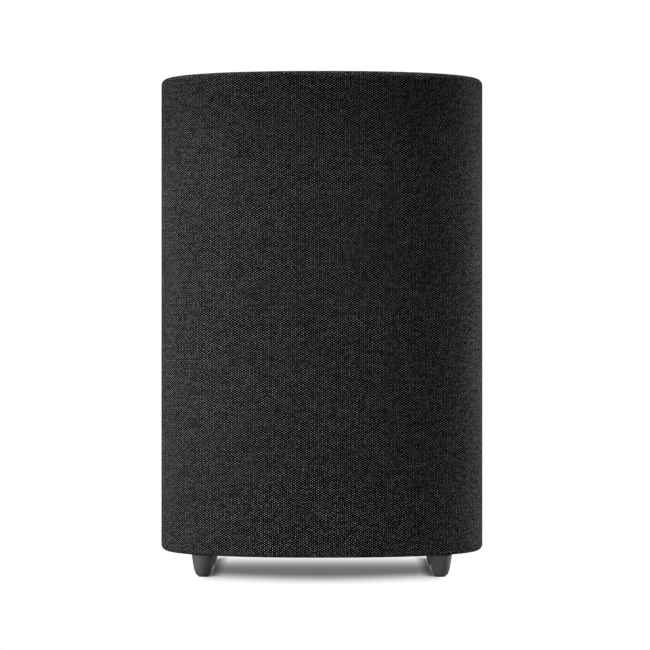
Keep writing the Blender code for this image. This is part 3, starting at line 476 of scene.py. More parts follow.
# The record's material slots. Each has one finish, worn by pieces and by carried-over CAD nodes alike.
FINISHES = {
    "fabric": woven_cloth(),
    "felt": loose_felt(),
    "moulding": moulded("moulded_black", (0.026, 0.026, 0.027), 0.52),
    "foot": moulded("moulded_grey", (0.074, 0.074, 0.075), 0.5, 0.4),
    "fibreboard": fibreboard(),
    "rubber": soft_rubber("soft_rubber", (0.010, 0.010, 0.0103)),
    "foam": closed_foam(),
    "paper": paper_pulp(),
    "spider": stiffened_cloth(),
    "film": amber_film(),
    "copper": wound_copper(),
    "ferrite": ferrite(),
    "plated_steel": metal("plated_steel", (0.56, 0.57, 0.58), 0.3, (1, 1, 6)),
    "painted_steel": powder_coat(),
    "aluminium": metal("extruded_aluminium", (0.72, 0.73, 0.75), 0.36, (6, 6, 1)),
    "circuit": solder_mask(),
    "lens": milky_lens(),
}
BRAID = braided_copper()
GREY_RUBBER = soft_rubber("grey_rubber", (0.05, 0.05, 0.051))

# The carried-over CAD nodes with rounded corners, by the corners' radius in millimetres.
ROUNDED_NODES = {
    0.5: ("baffle_board", "top_board", "cabinet_brace"),
    0.4: ("amplifier_housing",),
    0.3: ("transformer", "bulk_capacitor"),
    0.2: ("terminal_strip", "heat_sink", "tactile_switch", "switch_plunger"),
    0.15: ("wireless_module", "supply_board", "amplifier_board"),
}
SLOT_OF = {row["node"]: row["material_slot"] for row in frame["record"]["subparts"]}
BODY_OF = {n: body for body, nodes in frame["record"]["behaviour"]["bodies"].items() for n in nodes}


# ---- shapes


def oval_angles(stations):
    """The superellipse's angle at each station, a share of the way round from the middle of the back."""
    angles = np.linspace(pi / 2, pi / 2 + 2 * pi, 8193)
    points = oval_points(angles)
    steps = np.linalg.norm(np.diff(points, axis=0), axis=1)
    travelled = np.concatenate([[0], np.cumsum(steps)])
    return np.interp(np.asarray(stations) * travelled[-1], travelled, angles), travelled[-1]


def powered(values, power):
    return np.sign(values) * np.abs(values) ** power


def oval_points(angles, inset=0):
    """Points on the oval plan at these angles, moved inwards along its normals."""
    half = np.array([HALF_X, HALF_Y])
    unit = powered(np.stack([np.cos(angles), np.sin(angles)], axis=1), 2 / PLAN_POWER)
    normal = powered(unit, PLAN_POWER - 1) / half
    normal /= np.linalg.norm(normal, axis=1, keepdims=True)
    return unit * half - normal * np.reshape(inset, (-1, 1))


def arc(x, z, radii, start, end, steps):
    """Points on an arc in a profile plane, between angles in degrees. Two radii make an ellipse."""
    across, up = radii if isinstance(radii, tuple) else (radii, radii)
    angles = [radians(start + (end - start) * i / steps) for i in range(steps + 1)]
    return [(x + across * cos(angle), z + up * sin(angle)) for angle in angles]


def circle(radius, z, steps, centre=(0, 0)):
    turns = [2 * pi / steps * i for i in range(steps)]
    return [(centre[0] + radius * cos(turn), centre[1] + radius * sin(turn), z) for turn in turns]


def loft_mesh(rings, closed=False, uv=None, bm=None):
    """A bmesh through rings of equal length. uv(ring, column) gives a UV, also one past each end."""
    bm = bm or bmesh.new()
    loops = [[bm.verts.new(point) for point in ring] for ring in rings]
    count, columns = len(loops), len(loops[0])
    layer = bm.loops.layers.uv.new("weave") if uv else None
    if not closed:
        bm.faces.new(loops[0])
        bm.faces.new(loops[-1])
    for a in range(count if closed else count - 1):
        b = a + 1
        low, high = loops[a], loops[b % count]
        for i in range(columns):
            j = i + 1
            face = bm.faces.new((low[i], low[j % columns], high[j % columns], high[i]))
            if uv:
                for corner, place in zip(face.loops, ((a, i), (a, j), (b, j), (b, i))):
                    corner[layer].uv = uv(*place)
    bmesh.ops.recalc_face_normals(bm, faces=bm.faces)
    return bm


def placed(name, data):
    obj = bpy.data.objects.new(name, data)
    bpy.context.scene.collection.objects.link(obj)
    return obj


def smooth(mesh):
    mesh.shade_smooth()
    mesh.set_sharp_from_angle(angle=SHARP_ANGLE)


def add_piece(name, bm, finish):
    mesh = bpy.data.meshes.new(name)
    bm.to_mesh(mesh)
    bm.free()
    smooth(mesh)
    mesh.materials.append(finish)
    return placed(name, mesh)


def piece_for(node, name, bm, *cutters, finish=None, share=None):
    """A piece, carved by the cutters, that takes a CAD node's place: its slot's finish, or the finish
    given, and its body.

    With share it is left in the shared frame without a body. share gives a vertex's part of the travel,
    which is worked out but not kept.
    """
    piece = add_piece(name, bm, finish or FINISHES[SLOT_OF[node]])
    for cutter in cutters:
        carve(piece, cutter)
    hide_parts(node)
    if not share:
        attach(piece, BODY_OF[node])
        return
    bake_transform(piece)
    values = [share(vertex.co) for vertex in piece.data.vertices]


def turned(profile, closed=False, steps=ROUND_STEPS, centre=(0, 0)):
    """A bmesh turned about a vertical axis, from (radius, z) points."""
    return loft_mesh([circle(radius, z, steps, centre) for radius, z in profile], closed)


def oval_ring(angles, inset, z):
    return [(x, y, z) for x, y in oval_points(angles, inset)]


EVEN_ANGLES = oval_angles(np.arange(OVAL_STEPS) / OVAL_STEPS)[0]


def swept(profile):
    """A bmesh swept round the plan, from (inset, z) points."""
    return loft_mesh([oval_ring(EVEN_ANGLES, inset, z) for inset, z in profile])


def rods(matrices, radius, depth, steps):
    """One bmesh with a cylinder at each matrix."""
    bm = bmesh.new()
    size = {"segments": steps, "radius1": radius, "radius2": radius, "depth": depth}
    for matrix in matrices:
        bmesh.ops.create_cone(bm, cap_ends=True, matrix=matrix, **size)
    return bm


def cylinders(places, radius, z_from, z_to, steps=FINE_STEPS):
    """One bmesh with a vertical cylinder at each place."""
    matrices = [Matrix.Translation((x, y, (z_from + z_to) / 2)) for x, y in places]
    return rods(matrices, radius, z_to - z_from, steps)


def carve(obj, bm):
    """Cuts the bmesh's shape out of obj and applies the result."""
    tool = add_piece("tool", bm, obj.data.materials[0])
    modifier = obj.modifiers.new("Boolean", "BOOLEAN")
    modifier.operation = "DIFFERENCE"
    modifier.object = tool
    modifier.solver = "EXACT"
    bpy.context.view_layer.update()
    graph = bpy.context.evaluated_depsgraph_get()
    result = bpy.data.meshes.new_from_object(obj.evaluated_get(graph))
    obj.modifiers.clear()
    old, tool_mesh = obj.data, tool.data
    result.name = old.name
    obj.data = result
    bpy.data.objects.remove(tool)
    bpy.data.meshes.remove(old)
    bpy.data.meshes.remove(tool_mesh)
    smooth(result)


def rounded_rectangle(size, corner, at=(0, PANEL_Z), shrink=0, steps=10):
    """A rounded rectangle's (x, z) points about a place on the rear panel, moved inwards by shrink."""
    half_x, half_z = size[0] / 2 - corner, size[1] / 2 - corner
    points = []
    for quarter, (x, z) in enumerate(((1, 1), (-1, 1), (-1, -1), (1, -1))):
        start = 90 * quarter
        points += arc(at[0] + x * half_x, at[1] + z * half_z, corner - shrink, start, start + 90, steps)
    return points


def upright(outline, y):
    """An (x, z) outline as a ring at this y."""
    return [(x, y, z) for x, z in outline]


def prism_mesh(outline, y_from, y_to):
    """An (x, z) outline extruded along Y."""
    return loft_mesh([upright(outline, y_from), upright(outline, y_to)])


# ---- sleeve and covers

OPENING_LOW, OPENING_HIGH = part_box("rear_bezel")
OPENING = (OPENING_HIGH.x - OPENING_LOW.x + 2 * GAP, OPENING_HIGH.z - OPENING_LOW.z + 2 * GAP)
OPENING_CORNER = 10 * MM
SEAM_WIDTH = 1.3 * MM
SEAM_DEPTH = 0.7 * MM
SCREW_HOLE_R = 2.3 * MM
THROUGH_Y = mm(60, 120)  # a cutter's reach, right through the panel and the wall


def sleeve_stations():
    """Even stations round the plan, with close ones either side of the seam down the back."""
    length = oval_angles([0])[1]
    close = [offset * MM / length for offset in (0, 0.4, 0.8, 1.2, 1.7, 2.3, 3)]
    even = np.arange(1, OVAL_STEPS) / OVAL_STEPS
    even = even[(even > close[-1]) & (even < 1 - close[-1])]
    return np.concatenate([close, even, [1 - c for c in reversed(close[1:])]]), length


def sleeve():
    """The woven sleeve, drawn over both rims and turned in to the covers, seamed down the back."""
    stations, length = sleeve_stations()
    angles = oval_angles(stations)[0]
    from_seam = np.minimum(stations, 1 - stations) * length
    valley = SEAM_DEPTH * np.exp(-((from_seam / SEAM_WIDTH) ** 2))
    low, high = SLEEVE_LOW.z + EDGE_RADIUS, SLEEVE_HIGH.z - EDGE_RADIUS
    inner = EDGE_RADIUS - CLOTH
    hem = CLOTH / 2
    rows = 24
    outer = arc(EDGE_RADIUS, low, EDGE_RADIUS, 270, 180, 10)
    outer += [(0, low + (high - low) * i / rows) for i in range(1, rows)]
    outer += arc(EDGE_RADIUS, high, EDGE_RADIUS, 180, 90, 10)
    profile = outer + arc(HEM_INSET - hem, SLEEVE_HIGH.z - hem, hem, 90, -90, 6)
    profile += arc(EDGE_RADIUS, high, inner, 90, 180, 4)
    profile += arc(EDGE_RADIUS, low, inner, 180, 270, 4)
    profile += arc(HEM_INSET - hem, SLEEVE_LOW.z + hem, hem, 90, -90, 6)
    rings = [oval_ring(angles, inset + valley, z) for inset, z in profile]
    steps = [dist(a, b) for a, b in zip(profile, profile[1:] + profile[:1])]
    heights = np.concatenate([[0], np.cumsum(steps)])
    widths = np.append(stations, 1) * length
    cloth = loft_mesh(rings, True, lambda ring, column: (widths[column], heights[ring]))
    opening = prism_mesh(rounded_rectangle(OPENING, OPENING_CORNER), *THROUGH_Y)
    piece_for("fabric_sleeve", "woven_sleeve", cloth, opening)


CORNERS = {"front_left": (-1, -1), "front_right": (1, -1), "rear_left": (-1, 1), "rear_right": (1, 1)}
FOOT_PLACES = {corner: (FOOT_X * x, FOOT_Y * y) for corner, (x, y) in CORNERS.items()}


def covers():
    """The top and base covers: their rims are square where they are hidden and rounded in sight."""
    rim = 0.9 * MM
    low, high = heights_of("top_cover")
    top = arc(COVER_INSET + rim, high - rim, rim, 180, 90, 5)
    piece_for("top_cover", "top_plate", swept([(COVER_INSET, low)] + top))
    low, high = heights_of("base_cover")
    base = arc(COVER_INSET + rim, low + rim, rim, 270, 180, 5) + [(COVER_INSET, high)]
    reach = (low - MM, high + MM)
    piece_for(
        "base_cover",
        "base_plate",
        swept(base),
        cylinders([(0, 0)], FLANGE_R + 0.5 * MM, *reach, ROUND_STEPS),
        cylinders([PORT_AT], PORT_R + GAP, *reach),
        cylinders(FOOT_PLACES.values(), SCREW_HOLE_R, *reach, 24),
    )


# ---- feet

FOOT_TAPER_INNER = 6.4 * MM
FOOT_TAPER_OUTER = 3 * MM
FOOT_ROUNDING = 3 * MM
FOOT_LEAN = (0.89, 0.46)
FOOT_EDGE = 0.5 * MM
FOOT_RINGS = 22
COUNTERBORE_R = 3.6 * MM
COUNTERBORE_TOP = 6.3 * MM


def foot(corner, side_x, side_y):
    """A tapered foot, straight inwards and bulging outwards, with its screw's stepped bore."""
    at, top_r = middle_of("foot_" + corner)
    low, high = heights_of("foot_" + corner)
    lean = Vector((FOOT_LEAN[0] * side_x, FOOT_LEAN[1] * side_y))
    rings = []
    for i in range(FOOT_RINGS + 1):
        share = 1 - (1 - i / FOOT_RINGS) ** 1.6
        outer = top_r - FOOT_TAPER_OUTER * share - FOOT_ROUNDING * (1 - sqrt(1 - share**4))
        inner = top_r - FOOT_TAPER_INNER * share - FOOT_EDGE * share**16
        centre, z = at + lean * (outer - inner) / 2, high + (low - high) * share
        rings.append(circle((outer + inner) / 2, z, FINE_STEPS, centre))
    bore = [(COUNTERBORE_R, low), (COUNTERBORE_R, COUNTERBORE_TOP)]
    bore += [(SCREW_HOLE_R, COUNTERBORE_TOP), (SCREW_HOLE_R, high)]
    rings += [circle(radius, z, FINE_STEPS, at) for radius, z in bore]
    piece_for("foot_" + corner, "moulded_foot_" + corner, loft_mesh(rings, True))


def foot_pad(corner):
    """A rubber pad with three round grooves in its underside."""
    middle, pad_r = middle_of("foot_pad_" + corner)
    low, high = heights_of("foot_pad_" + corner)
    rim = groove = 0.3 * MM
    profile = [(0.9 * MM, low)]
    for ring in range(3):
        inner = (1.2 + 1.5 * ring) * MM
        profile += [(inner, low + groove), (inner + 0.6 * MM, low + groove)]
        profile += [(inner + 0.9 * MM, low), (inner + 1.2 * MM, low)]
    profile += arc(pad_r - rim, low + rim, rim, 270, 360, 4) + [(pad_r, high)]
    pad = turned(profile, False, FINE_STEPS, middle)
    piece_for("foot_pad_" + corner, "ribbed_pad_" + corner, pad, finish=GREY_RUBBER)


def feet():
    for corner, sides in CORNERS.items():
        foot(corner, *sides)
        foot_pad(corner)


# ---- woofer

WOOFER_SCREWS = 6
SCREW_PLACES = [(x, y) for x, y, _ in circle(78.2 * MM, 0, WOOFER_SCREWS)]
FLANGE_HOLE_R = 2.1 * MM


def woofer_profile(points):
    """(radius or x, height above the flange) points in millimetres, as (radius or x, z) in metres."""
    return [(radius * MM, FLANGE_Z + height * MM) for radius, height in points]


def rounded(points, radius, steps=4):
    """A closed profile with its corners rounded, and those too close to their neighbours less."""
    result = []
    count = len(points)
    for i, point in enumerate(points):
        corner = Vector(point)
        before, after = Vector(points[i - 1]) - corner, Vector(points[(i + 1) % count]) - corner
        reach = min(radius, before.length * 0.45, after.length * 0.45)
        first, last = corner + before.normalized() * reach, corner + after.normalized() * reach
        for k in range(steps + 1):
            t = k / steps
            result.append(tuple(first * (1 - t) ** 2 + corner * 2 * t * (1 - t) + last * t**2))
    return result


def screw_holes():
    low, high = FLANGE_Z - MM, FLANGE_Z + 8 * MM
    return cylinders(SCREW_PLACES, FLANGE_HOLE_R, low, high, SMALL_STEPS)


def woofer_part(outline, corner=0):
    """A ring on the woofer's axis from an outline in millimetres, with its corners rounded."""
    profile = woofer_profile(outline)
    return turned(rounded(profile, corner * MM) if corner else profile, True)


def basket():
    """The pressed basket: rounded bends, windows in its cone and a raised bead on its flange."""
    outline = [(83, 0), (83, 3.2), (73.6, 3.2), (73.6, 13), (57, 34.2), (57, 36), (47, 36), (47, 52)]
    outline += [(22.5, 52), (22.5, 50.2), (45.2, 50.2), (45.2, 34.2), (55.2, 34.2), (71.8, 13)]
    outline += [(71.8, 5.8), (66, 5.8), (66, 4), (71.8, 4), (71.8, 0), (73.6, 0), (74, 0.35)]
    outline += [(82, 0.35)]
    window = woofer_profile([(-17, 16), (17, 16), (17, 31), (-17, 31)])
    window = rounded(window, 4.5 * MM, 6)
    cutters = []
    for i in range(WOOFER_SCREWS):
        cutter = prism_mesh(window, *mm(52, 78))
        turn = Matrix.Rotation(2 * pi * (i + 0.5) / WOOFER_SCREWS - pi / 2, 4, "Z")
        bmesh.ops.transform(cutter, matrix=turn, verts=cutter.verts)
        cutters.append(cutter)
    cutters.append(screw_holes())
    piece_for("woofer_basket", "pressed_basket", woofer_part(outline, 0.8), *cutters)
    seal = [(74.5, 3.5), (82.5, 3.5), (82.5, 4.8), (74.5, 4.8)]
    piece_for("woofer_gasket", "foam_gasket", woofer_part(seal, 0.5), screw_holes())


def radius_of(point):
    return hypot(point.x, point.y)


def share_by(measure, at_rest, at_full):
    """A function for a vertex's part of the cone's travel: none at at_rest and all at at_full."""

    def share(point):
        t = min(max((measure(point) - at_rest) / (at_full - at_rest), 0.0), 1.0)
        return t * t * (3 - 2 * t)

    return share


def suspension():
    """The half-roll surround with its glued lips, and the spider's round corrugations."""
    face, rubber, thin = 3.7, 1.1, 0.99
    low = face - rubber
    roll = arc(60, low, (6, 4.6), 0, -180, 36)
    inside = arc(60, face, (6 - thin, 4.6), -180, 0, 36)
    outline = [(71.5, face), (71.5, low + 0.3), (71.2, low), (67.4, low), (67.1, low - 0.35)]
    outline += [(66.7, low - 0.35), (66.4, low)] + roll
    outline += [(53.2, low), (50.7, low), (50.4, low + 0.3), (50.4, face)] + inside
    share = share_by(radius_of, *mm(66.2, 54))
    piece_for("surround", "rolled_surround", woofer_part(outline), share=share)

    cloth, swing, level = 0.9, 1.7, 33
    outer, inner, waves, steps = 44, 22.7, 4, 8
    under = [(54.4, level), (outer, level)]
    for i in range(1, waves * steps):
        share = i / (waves * steps)
        height = swing * sin(2 * pi * waves * share) * min(1, 6 * share, 6 * (1 - share))
        under.append((outer + (inner - outer) * share, level + height))
    under += [(inner, level), (20.2, level)]
    over = [(radius, height + cloth) for radius, height in reversed(under)]
    share = share_by(radius_of, *mm(46, 23))
    piece_for("spider", "corrugated_spider", woofer_part(under + over), share=share)


def cone_rib(inwards):
    """The height of the three ribs at this distance inwards from the surround, in millimetres."""
    first, last, pitch = 3.5, 13.7, 3.4
    if not first < inwards < last:
        return 0
    return 0.3 * exp(-(((inwards - first) % pitch - pitch / 2) ** 2) / 0.35)


def cone():
    """The paper cone and its domed cap with a glue bead, the former, the coil and the motor."""
    rim_r, rim_z = 50.4, 4
    front = [(53.8, rim_z), (rim_r, rim_z)]
    depth, steps, slope, curve = 30.2, 60, 0.4776, 0.00831
    for i in range(1, steps + 1):
        inwards = depth * i / steps
        height = slope * inwards + curve * inwards**2 - cone_rib(inwards)
        front.append((rim_r - inwards, rim_z + height))
    back = [(radius, height + 1.2 + 0.7 * (53.8 - radius) / 33.6) for radius, height in reversed(front)]
    piece_for("woofer_cone", "pulp_cone", woofer_part(front + back))

    rim_at, dome, skin = 19, 8, 0.9
    outer = arc(0, rim_at, (26.2, -dome), 89, 0, 26)
    bead = [(26.6, rim_at - 0.25), (26.95, rim_at - 0.1), (27, rim_at + 0.3), (26.4, rim_at + 0.6)]
    inner = arc(0, rim_at, (26.2 - skin, -(dome - skin)), 0, 89, 26)
    piece_for("dust_cap", "domed_cap", turned(woofer_profile(outer + bead + inner)))

    bobbin = [(19, 24), (19.7, 24), (19.7, 66), (19, 66)]
    winding = [(20, 50), (20.9, 50), (20.9, 65.5), (20, 65.5)]
    plate = [(21.6, 52.3), (39, 52.3), (39, 58.3), (21.6, 58.3)]
    ring = [(25, 58.6), (43, 58.6), (43, 74.6), (25, 74.6)]
    yoke = [(5, 52.3), (18.2, 52.3), (18.2, 74.9), (39, 74.9), (39, 80.9), (5, 80.9)]
    shapes = (
        # name, node, outline, corner radius
        ("film_former", "coil_former", bobbin, 0.1),
        ("wound_coil", "voice_coil", winding, 0.2),
        ("turned_front_plate", "front_plate", plate, 0.6),
        ("sintered_ring", "magnet_ring", ring, 0.9),
        ("turned_yoke", "magnet_yoke", yoke, 0.8),
    )
    for name, node, outline, corner in shapes:
        piece_for(node, name, woofer_part(outline, corner))


def pan_screw(name, node, at, head_r, head_h, shank_r, length, turn=Matrix()):
    """A pan-head screw with a hexagon socket and a thread. Its axis runs up from the seat at z = 0."""
    dome = arc(head_r * 0.62, -head_h * 0.55, (head_r * 0.38, head_h * 0.45), 0, -90, 6)
    profile = [(shank_r * 0.55, length)]
    pitch, tip = mm(1.1, 0.6)
    root = 0.8
    for i in range(int((length - 2 * tip) / pitch)):
        z = length - tip - i * pitch
        profile += [(shank_r, z), (shank_r * root, z - pitch / 2)]
    profile += [(shank_r * root, 0), (head_r, 0), *dome]
    rings = [circle(radius, z, SCREW_STEPS) for radius, z in profile]
    corner, sixth = head_r * 0.44, radians(60)
    for z, scale in ((-head_h, 1.06), (-head_h * 0.93, 1), (-head_h * 0.4, 1)):
        ring = []
        for x, y, _ in circle(1, z, SCREW_STEPS):
            reach = corner * scale * cos(sixth / 2) / cos(atan2(y, x) % sixth - sixth / 2)
            ring.append((x * reach, y * reach, z))
        rings.append(ring)
    bm = loft_mesh(rings)
    bmesh.ops.transform(bm, matrix=Matrix.Translation(at) @ turn, verts=bm.verts)
    piece_for(node, name, bm)


def vertical_screws():
    """The screws that hold the woofer and those that hold the feet."""
    for i, (x, y) in enumerate(SCREW_PLACES):
        node, at = f"woofer_screw_{i + 1}", (x, y, FLANGE_Z - GAP)
        pan_screw(f"flange_screw_{i + 1}", node, at, *mm(3.4, 1.3, 1.8, 15))
    for corner, (x, y) in FOOT_PLACES.items():
        node, at = "foot_screw_" + corner, (x, y, 6 * MM)
        pan_screw("long_screw_" + corner, node, at, *mm(3.3, 2.6, 2, 32.1))


def braided_leads():
    """Two leads of three wound strands, from the tag strip to where they join the cone."""
    knots = [(52.6, 63), (64, 56), (56, 47), (44, 44), (35, 42.2), (33, 39.6)]  # (y, z) in millimetres
    lay_r, pitch, strand_r = mm(0.28, 2.6, 0.3)
    for side in ("left", "right"):
        node = "braided_lead_" + side
        x = middle_of(node)[0].x
        path = smooth_path([Vector((x, *mm(y, z))) for y, z in knots], 14)
        bm = bmesh.new()
        for strand in range(3):
            strand_path = wound(path, lay_r, pitch, 2 * pi * strand / 3)
            loft_mesh(tube_rings(strand_path, strand_r, 8), bm=bm)
        share = share_by(lambda point: point.z, *mm(62.5, 42.5))
        piece_for(node, "plaited_lead_" + side, bm, finish=BRAID, share=share)


def smooth_path(knots, steps):
    """A Catmull-Rom curve through the knots."""
    padded = [knots[0] * 2 - knots[1]] + knots + [knots[-1] * 2 - knots[-2]]
    points = []
    for a, b, c, d in zip(padded, padded[1:], padded[2:], padded[3:]):
        for i in range(steps):
            t = i / steps
            bend = (2 * a - 5 * b + 4 * c - d) * t**2 + (3 * b - a - 3 * c + d) * t**3
            points.append(0.5 * (2 * b + (c - a) * t + bend))
    return points + [knots[-1]]


def frames_along(path):
    """Each point of a path with two directions square to it."""
    for before, point, after in zip(path[:1] + path, path, path[1:] + path[-1:]):
        along = (after - before).normalized()
        side = along.cross(Vector((1, 0, 0))).normalized()
        yield point, side, along.cross(side)


def wound(path, radius, pitch, phase):
    """The path of one strand that winds round another path."""
    points, travelled, last = [], 0, path[0]
    for point, side, other in frames_along(path):
        travelled += (point - last).length
        last = point
        angle = phase + 2 * pi * travelled / pitch
        points.append(point + (side * cos(angle) + other * sin(angle)) * radius)
    return points


def tube_rings(path, radius, steps):
    """The rings of a round tube along the path."""
    offsets, frames = circle(radius, 0, steps), frames_along(path)
    return [[point + side * x + other * y for x, y, _ in offsets] for point, side, other in frames]


def port():
    """The reflex port: a tube with smooth flares and a rounded flange let into the base."""
    low, end = heights_of("reflex_port")
    flange_top = low + 4.2 * MM
    inner, outer, flare, length = mm(23, 26.3, 4, 14)
    throat = PORT_R - 1.2 * MM - inner
    rim = 0.5 * MM
    profile = arc(PORT_R - rim, low + rim, rim, 270, 360, 5)
    profile += [(PORT_R, flange_top), (outer, flange_top), (outer, end - 3 * flare)]
    profile += arc(outer, end, (flare, 3 * flare), -90, 0, 12)[1:-1]
    profile += [(outer + flare, end - 0.3 * MM), (outer + flare - 0.4 * MM, end)]
    profile += arc(inner + flare, end - 3 * flare, (flare, 3 * flare), 90, 180, 14)
    profile += arc(inner + throat, low + length, (throat, length), 180, 270, 20)
    piece_for("reflex_port", "flared_port", turned(profile, True, centre=PORT_AT))


# ---- rear panel


def on_panel(x, z):
    """The (x, z) of a place that is this many millimetres from the panel's middle."""
    return x * MM, PANEL_Z + z * MM


PANEL_SCREWS = [on_panel(x, z) for x in (-43, 43) for z in (-31, 31)]
INLET_AT = on_panel(-22, -8)
INLET_SIZE = mm(30, 21)
BUTTON_AT = on_panel(22, 4)
BUTTON_R = 5.7 * MM
LED_AT = on_panel(22, 20)
LED_R = 1.6 * MM
PANEL_CORNER = 8 * MM
INLET_CORNER = 2.5 * MM
INLET_BODY = mm(26, 17)
INLET_BODY_CORNER = 2 * MM
BACKWARDS = Matrix.Rotation(radians(90), 4, "X")


def surface_y(x, inset):
    """How far back the oval's rear surface is at this x."""
    return HALF_Y * (1 - (abs(x) / HALF_X) ** PLAN_POWER) ** (1 / PLAN_POWER) - inset


def bezel():
    """The rounded frame round the rear panel. Its face follows the cabinet's curve."""
    back, window = OPENING_LOW.y, mm(99, 75)
    sides = []
    for shrink, fall in rounding(1.3 * MM):
        side = rounded_rectangle(OPENING, OPENING_CORNER, shrink=GAP + shrink, steps=14)
        sides.append((side, fall))
    for shrink, fall in reversed(rounding(0.9 * MM)):
        sides.append((rounded_rectangle(window, 6 * MM, shrink=-shrink, steps=14), fall))
    side = sides[0][0]
    counts = [max(1, round(dist(a, b) / (4 * MM))) for a, b in zip(side, side[1:] + side[:1])]

    def cut(points):
        """The straight sides cut up alike, so that the face can follow the curve."""
        result = []
        for (first, last), parts in zip(zip(points, points[1:] + points[:1]), counts):
            result += [tuple(Vector(first).lerp(Vector(last), k / parts)) for k in range(parts)]
        return result

    rings = [upright(cut(sides[0][0]), back)]
    for points, fall in sides:
        rings.append([(x, surface_y(x, 0.2 * MM) - fall, z) for x, z in cut(points)])
    rings.append(upright(cut(sides[-1][0]), back))
    piece_for("rear_bezel", "curved_bezel", loft_mesh(rings, True))


def rounding(radius, steps=6):
    """(inset, fall) pairs for a rounded edge, from its side to its face."""
    angles = [radians(90 * i / steps) for i in range(steps + 1)]
    return [(radius * (1 - cos(a)), radius * (1 - sin(a))) for a in angles]


def rings_along_y(profile, at, steps=FINE_STEPS):
    """Rings about an axis along Y through a place on the panel, from (radius, y) points."""
    return [[(x, y, z) for x, z, _ in circle(radius, 0, steps, at)] for radius, y in profile]


def bores(places, radius, steps=SMALL_STEPS):
    """Cutters along Y through the panel."""
    matrices = [Matrix.Translation((x, PANEL_FACE_Y, z)) @ BACKWARDS for x, z in places]
    return rods(matrices, radius, 30 * MM, steps)


def panel():
    """The rear plate with its rounded edge and its holes, and its screws."""
    back, face = PANEL_LOW.y, PANEL_FACE_Y
    size = (PANEL_HIGH.x - PANEL_LOW.x, PANEL_HIGH.z - PANEL_LOW.z)
    rings = [upright(rounded_rectangle(size, PANEL_CORNER), back)]
    for shrink, fall in rounding(0.5 * MM, 3):
        rings.append(upright(rounded_rectangle(size, PANEL_CORNER, shrink=shrink), face - fall))
    hole = (INLET_BODY[0] + 2 * GAP, INLET_BODY[1] + 2 * GAP)
    piece_for(
        "rear_panel",
        "moulded_rear_plate",
        loft_mesh(rings),
        prism_mesh(rounded_rectangle(hole, INLET_BODY_CORNER, INLET_AT), *THROUGH_Y),
        bores([BUTTON_AT], BUTTON_R + GAP, FINE_STEPS),
        bores([LED_AT], LED_R + GAP),
        bores(PANEL_SCREWS, 1.5 * MM + GAP),
    )
    for i, (x, z) in enumerate(PANEL_SCREWS):
        node, at = f"panel_screw_{i + 1}", (x, face + GAP, z)
        pan_screw(f"plate_screw_{i + 1}", node, at, *mm(2.8, 1.7, 1.5, 12), BACKWARDS)


def inlet():
    """The appliance inlet: a figure-eight socket in a rounded flange, with two round pins."""
    face = PANEL_FACE_Y + GAP
    thick, depth, edge = mm(1.8, 20, 0.7)
    front = face + thick
    shape = rounded_rectangle(INLET_BODY, INLET_BODY_CORNER, INLET_AT)
    rings = [upright(shape, face - depth), upright(shape, face)]
    rings.append(upright(rounded_rectangle(INLET_SIZE, INLET_CORNER, INLET_AT), face))
    for shrink, fall in rounding(edge, 4):
        shape = rounded_rectangle(INLET_SIZE, INLET_CORNER, INLET_AT, shrink)
        rings.append(upright(shape, front - fall))
    floor, pitch, lobe = face - 13 * MM, *mm(8.6, 4.5)
    half = degrees(asin(3.1 * MM / lobe))  # half the angle that the waist takes out of each lobe
    x, z = INLET_AT
    lobes = arc(x + pitch / 2, z, lobe, half - 180, 180 - half, 40)
    lobes += arc(x - pitch / 2, z, lobe, half, 360 - half, 40)
    socket = prism_mesh(lobes, floor, front + MM)
    piece_for("mains_inlet", "figure_eight_inlet", loft_mesh(rings), socket)

    pin = [(1.2 * MM, floor - MM)]
    pin += [(radius * MM, face - depth * MM) for radius, depth in ((1.2, 2.6), (1, 2.1), (0.6, 2))]
    pins = bmesh.new()
    for side in (-1, 1):
        loft_mesh(rings_along_y(pin, (x + side * pitch / 2, z), 24), bm=pins)
    contacts = add_piece("inlet_pins", pins, FINISHES["plated_steel"])
    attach(contacts, BODY_OF["mains_inlet"])


def button_and_lamp():
    """The dished pairing button and the lamp's light guide, both held by a collar behind the panel."""
    stem_end, face = [place.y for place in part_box("pairing_button")]
    back, collar = PANEL_LOW.y - GAP, PANEL_LOW.y - 1.8 * MM
    edge, dish, collar_r, stem_r = mm(0.7, 0.45, 7, 2)
    shares = (0.02, 0.2, 0.4, 0.6, 0.75)
    profile = [(BUTTON_R * share, face - dish * (1 - (share / 0.8) ** 2)) for share in shares]
    profile += arc(BUTTON_R - edge, face - edge, edge, 90, 0, 6)
    profile += [(BUTTON_R, back), (collar_r, back), (collar_r, collar)]
    profile += [(stem_r, collar), (stem_r, stem_end)]
    piece_for("pairing_button", "dished_button", loft_mesh(rings_along_y(profile, BUTTON_AT)))

    root, tip = [place.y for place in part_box("lamp_lens")]
    profile = [(LED_R * share, tip - 0.4 * MM * share**2) for share in (0.05, 0.3, 0.55, 0.8, 0.95)]
    profile += [(LED_R, tip - 0.5 * MM), (LED_R, back), (LED_R + MM, back), (LED_R + MM, collar)]
    profile += [(LED_R, collar), (LED_R, root)]
    piece_for("lamp_lens", "light_guide", loft_mesh(rings_along_y(profile, LED_AT)))


# ---- lining and carried-over CAD nodes


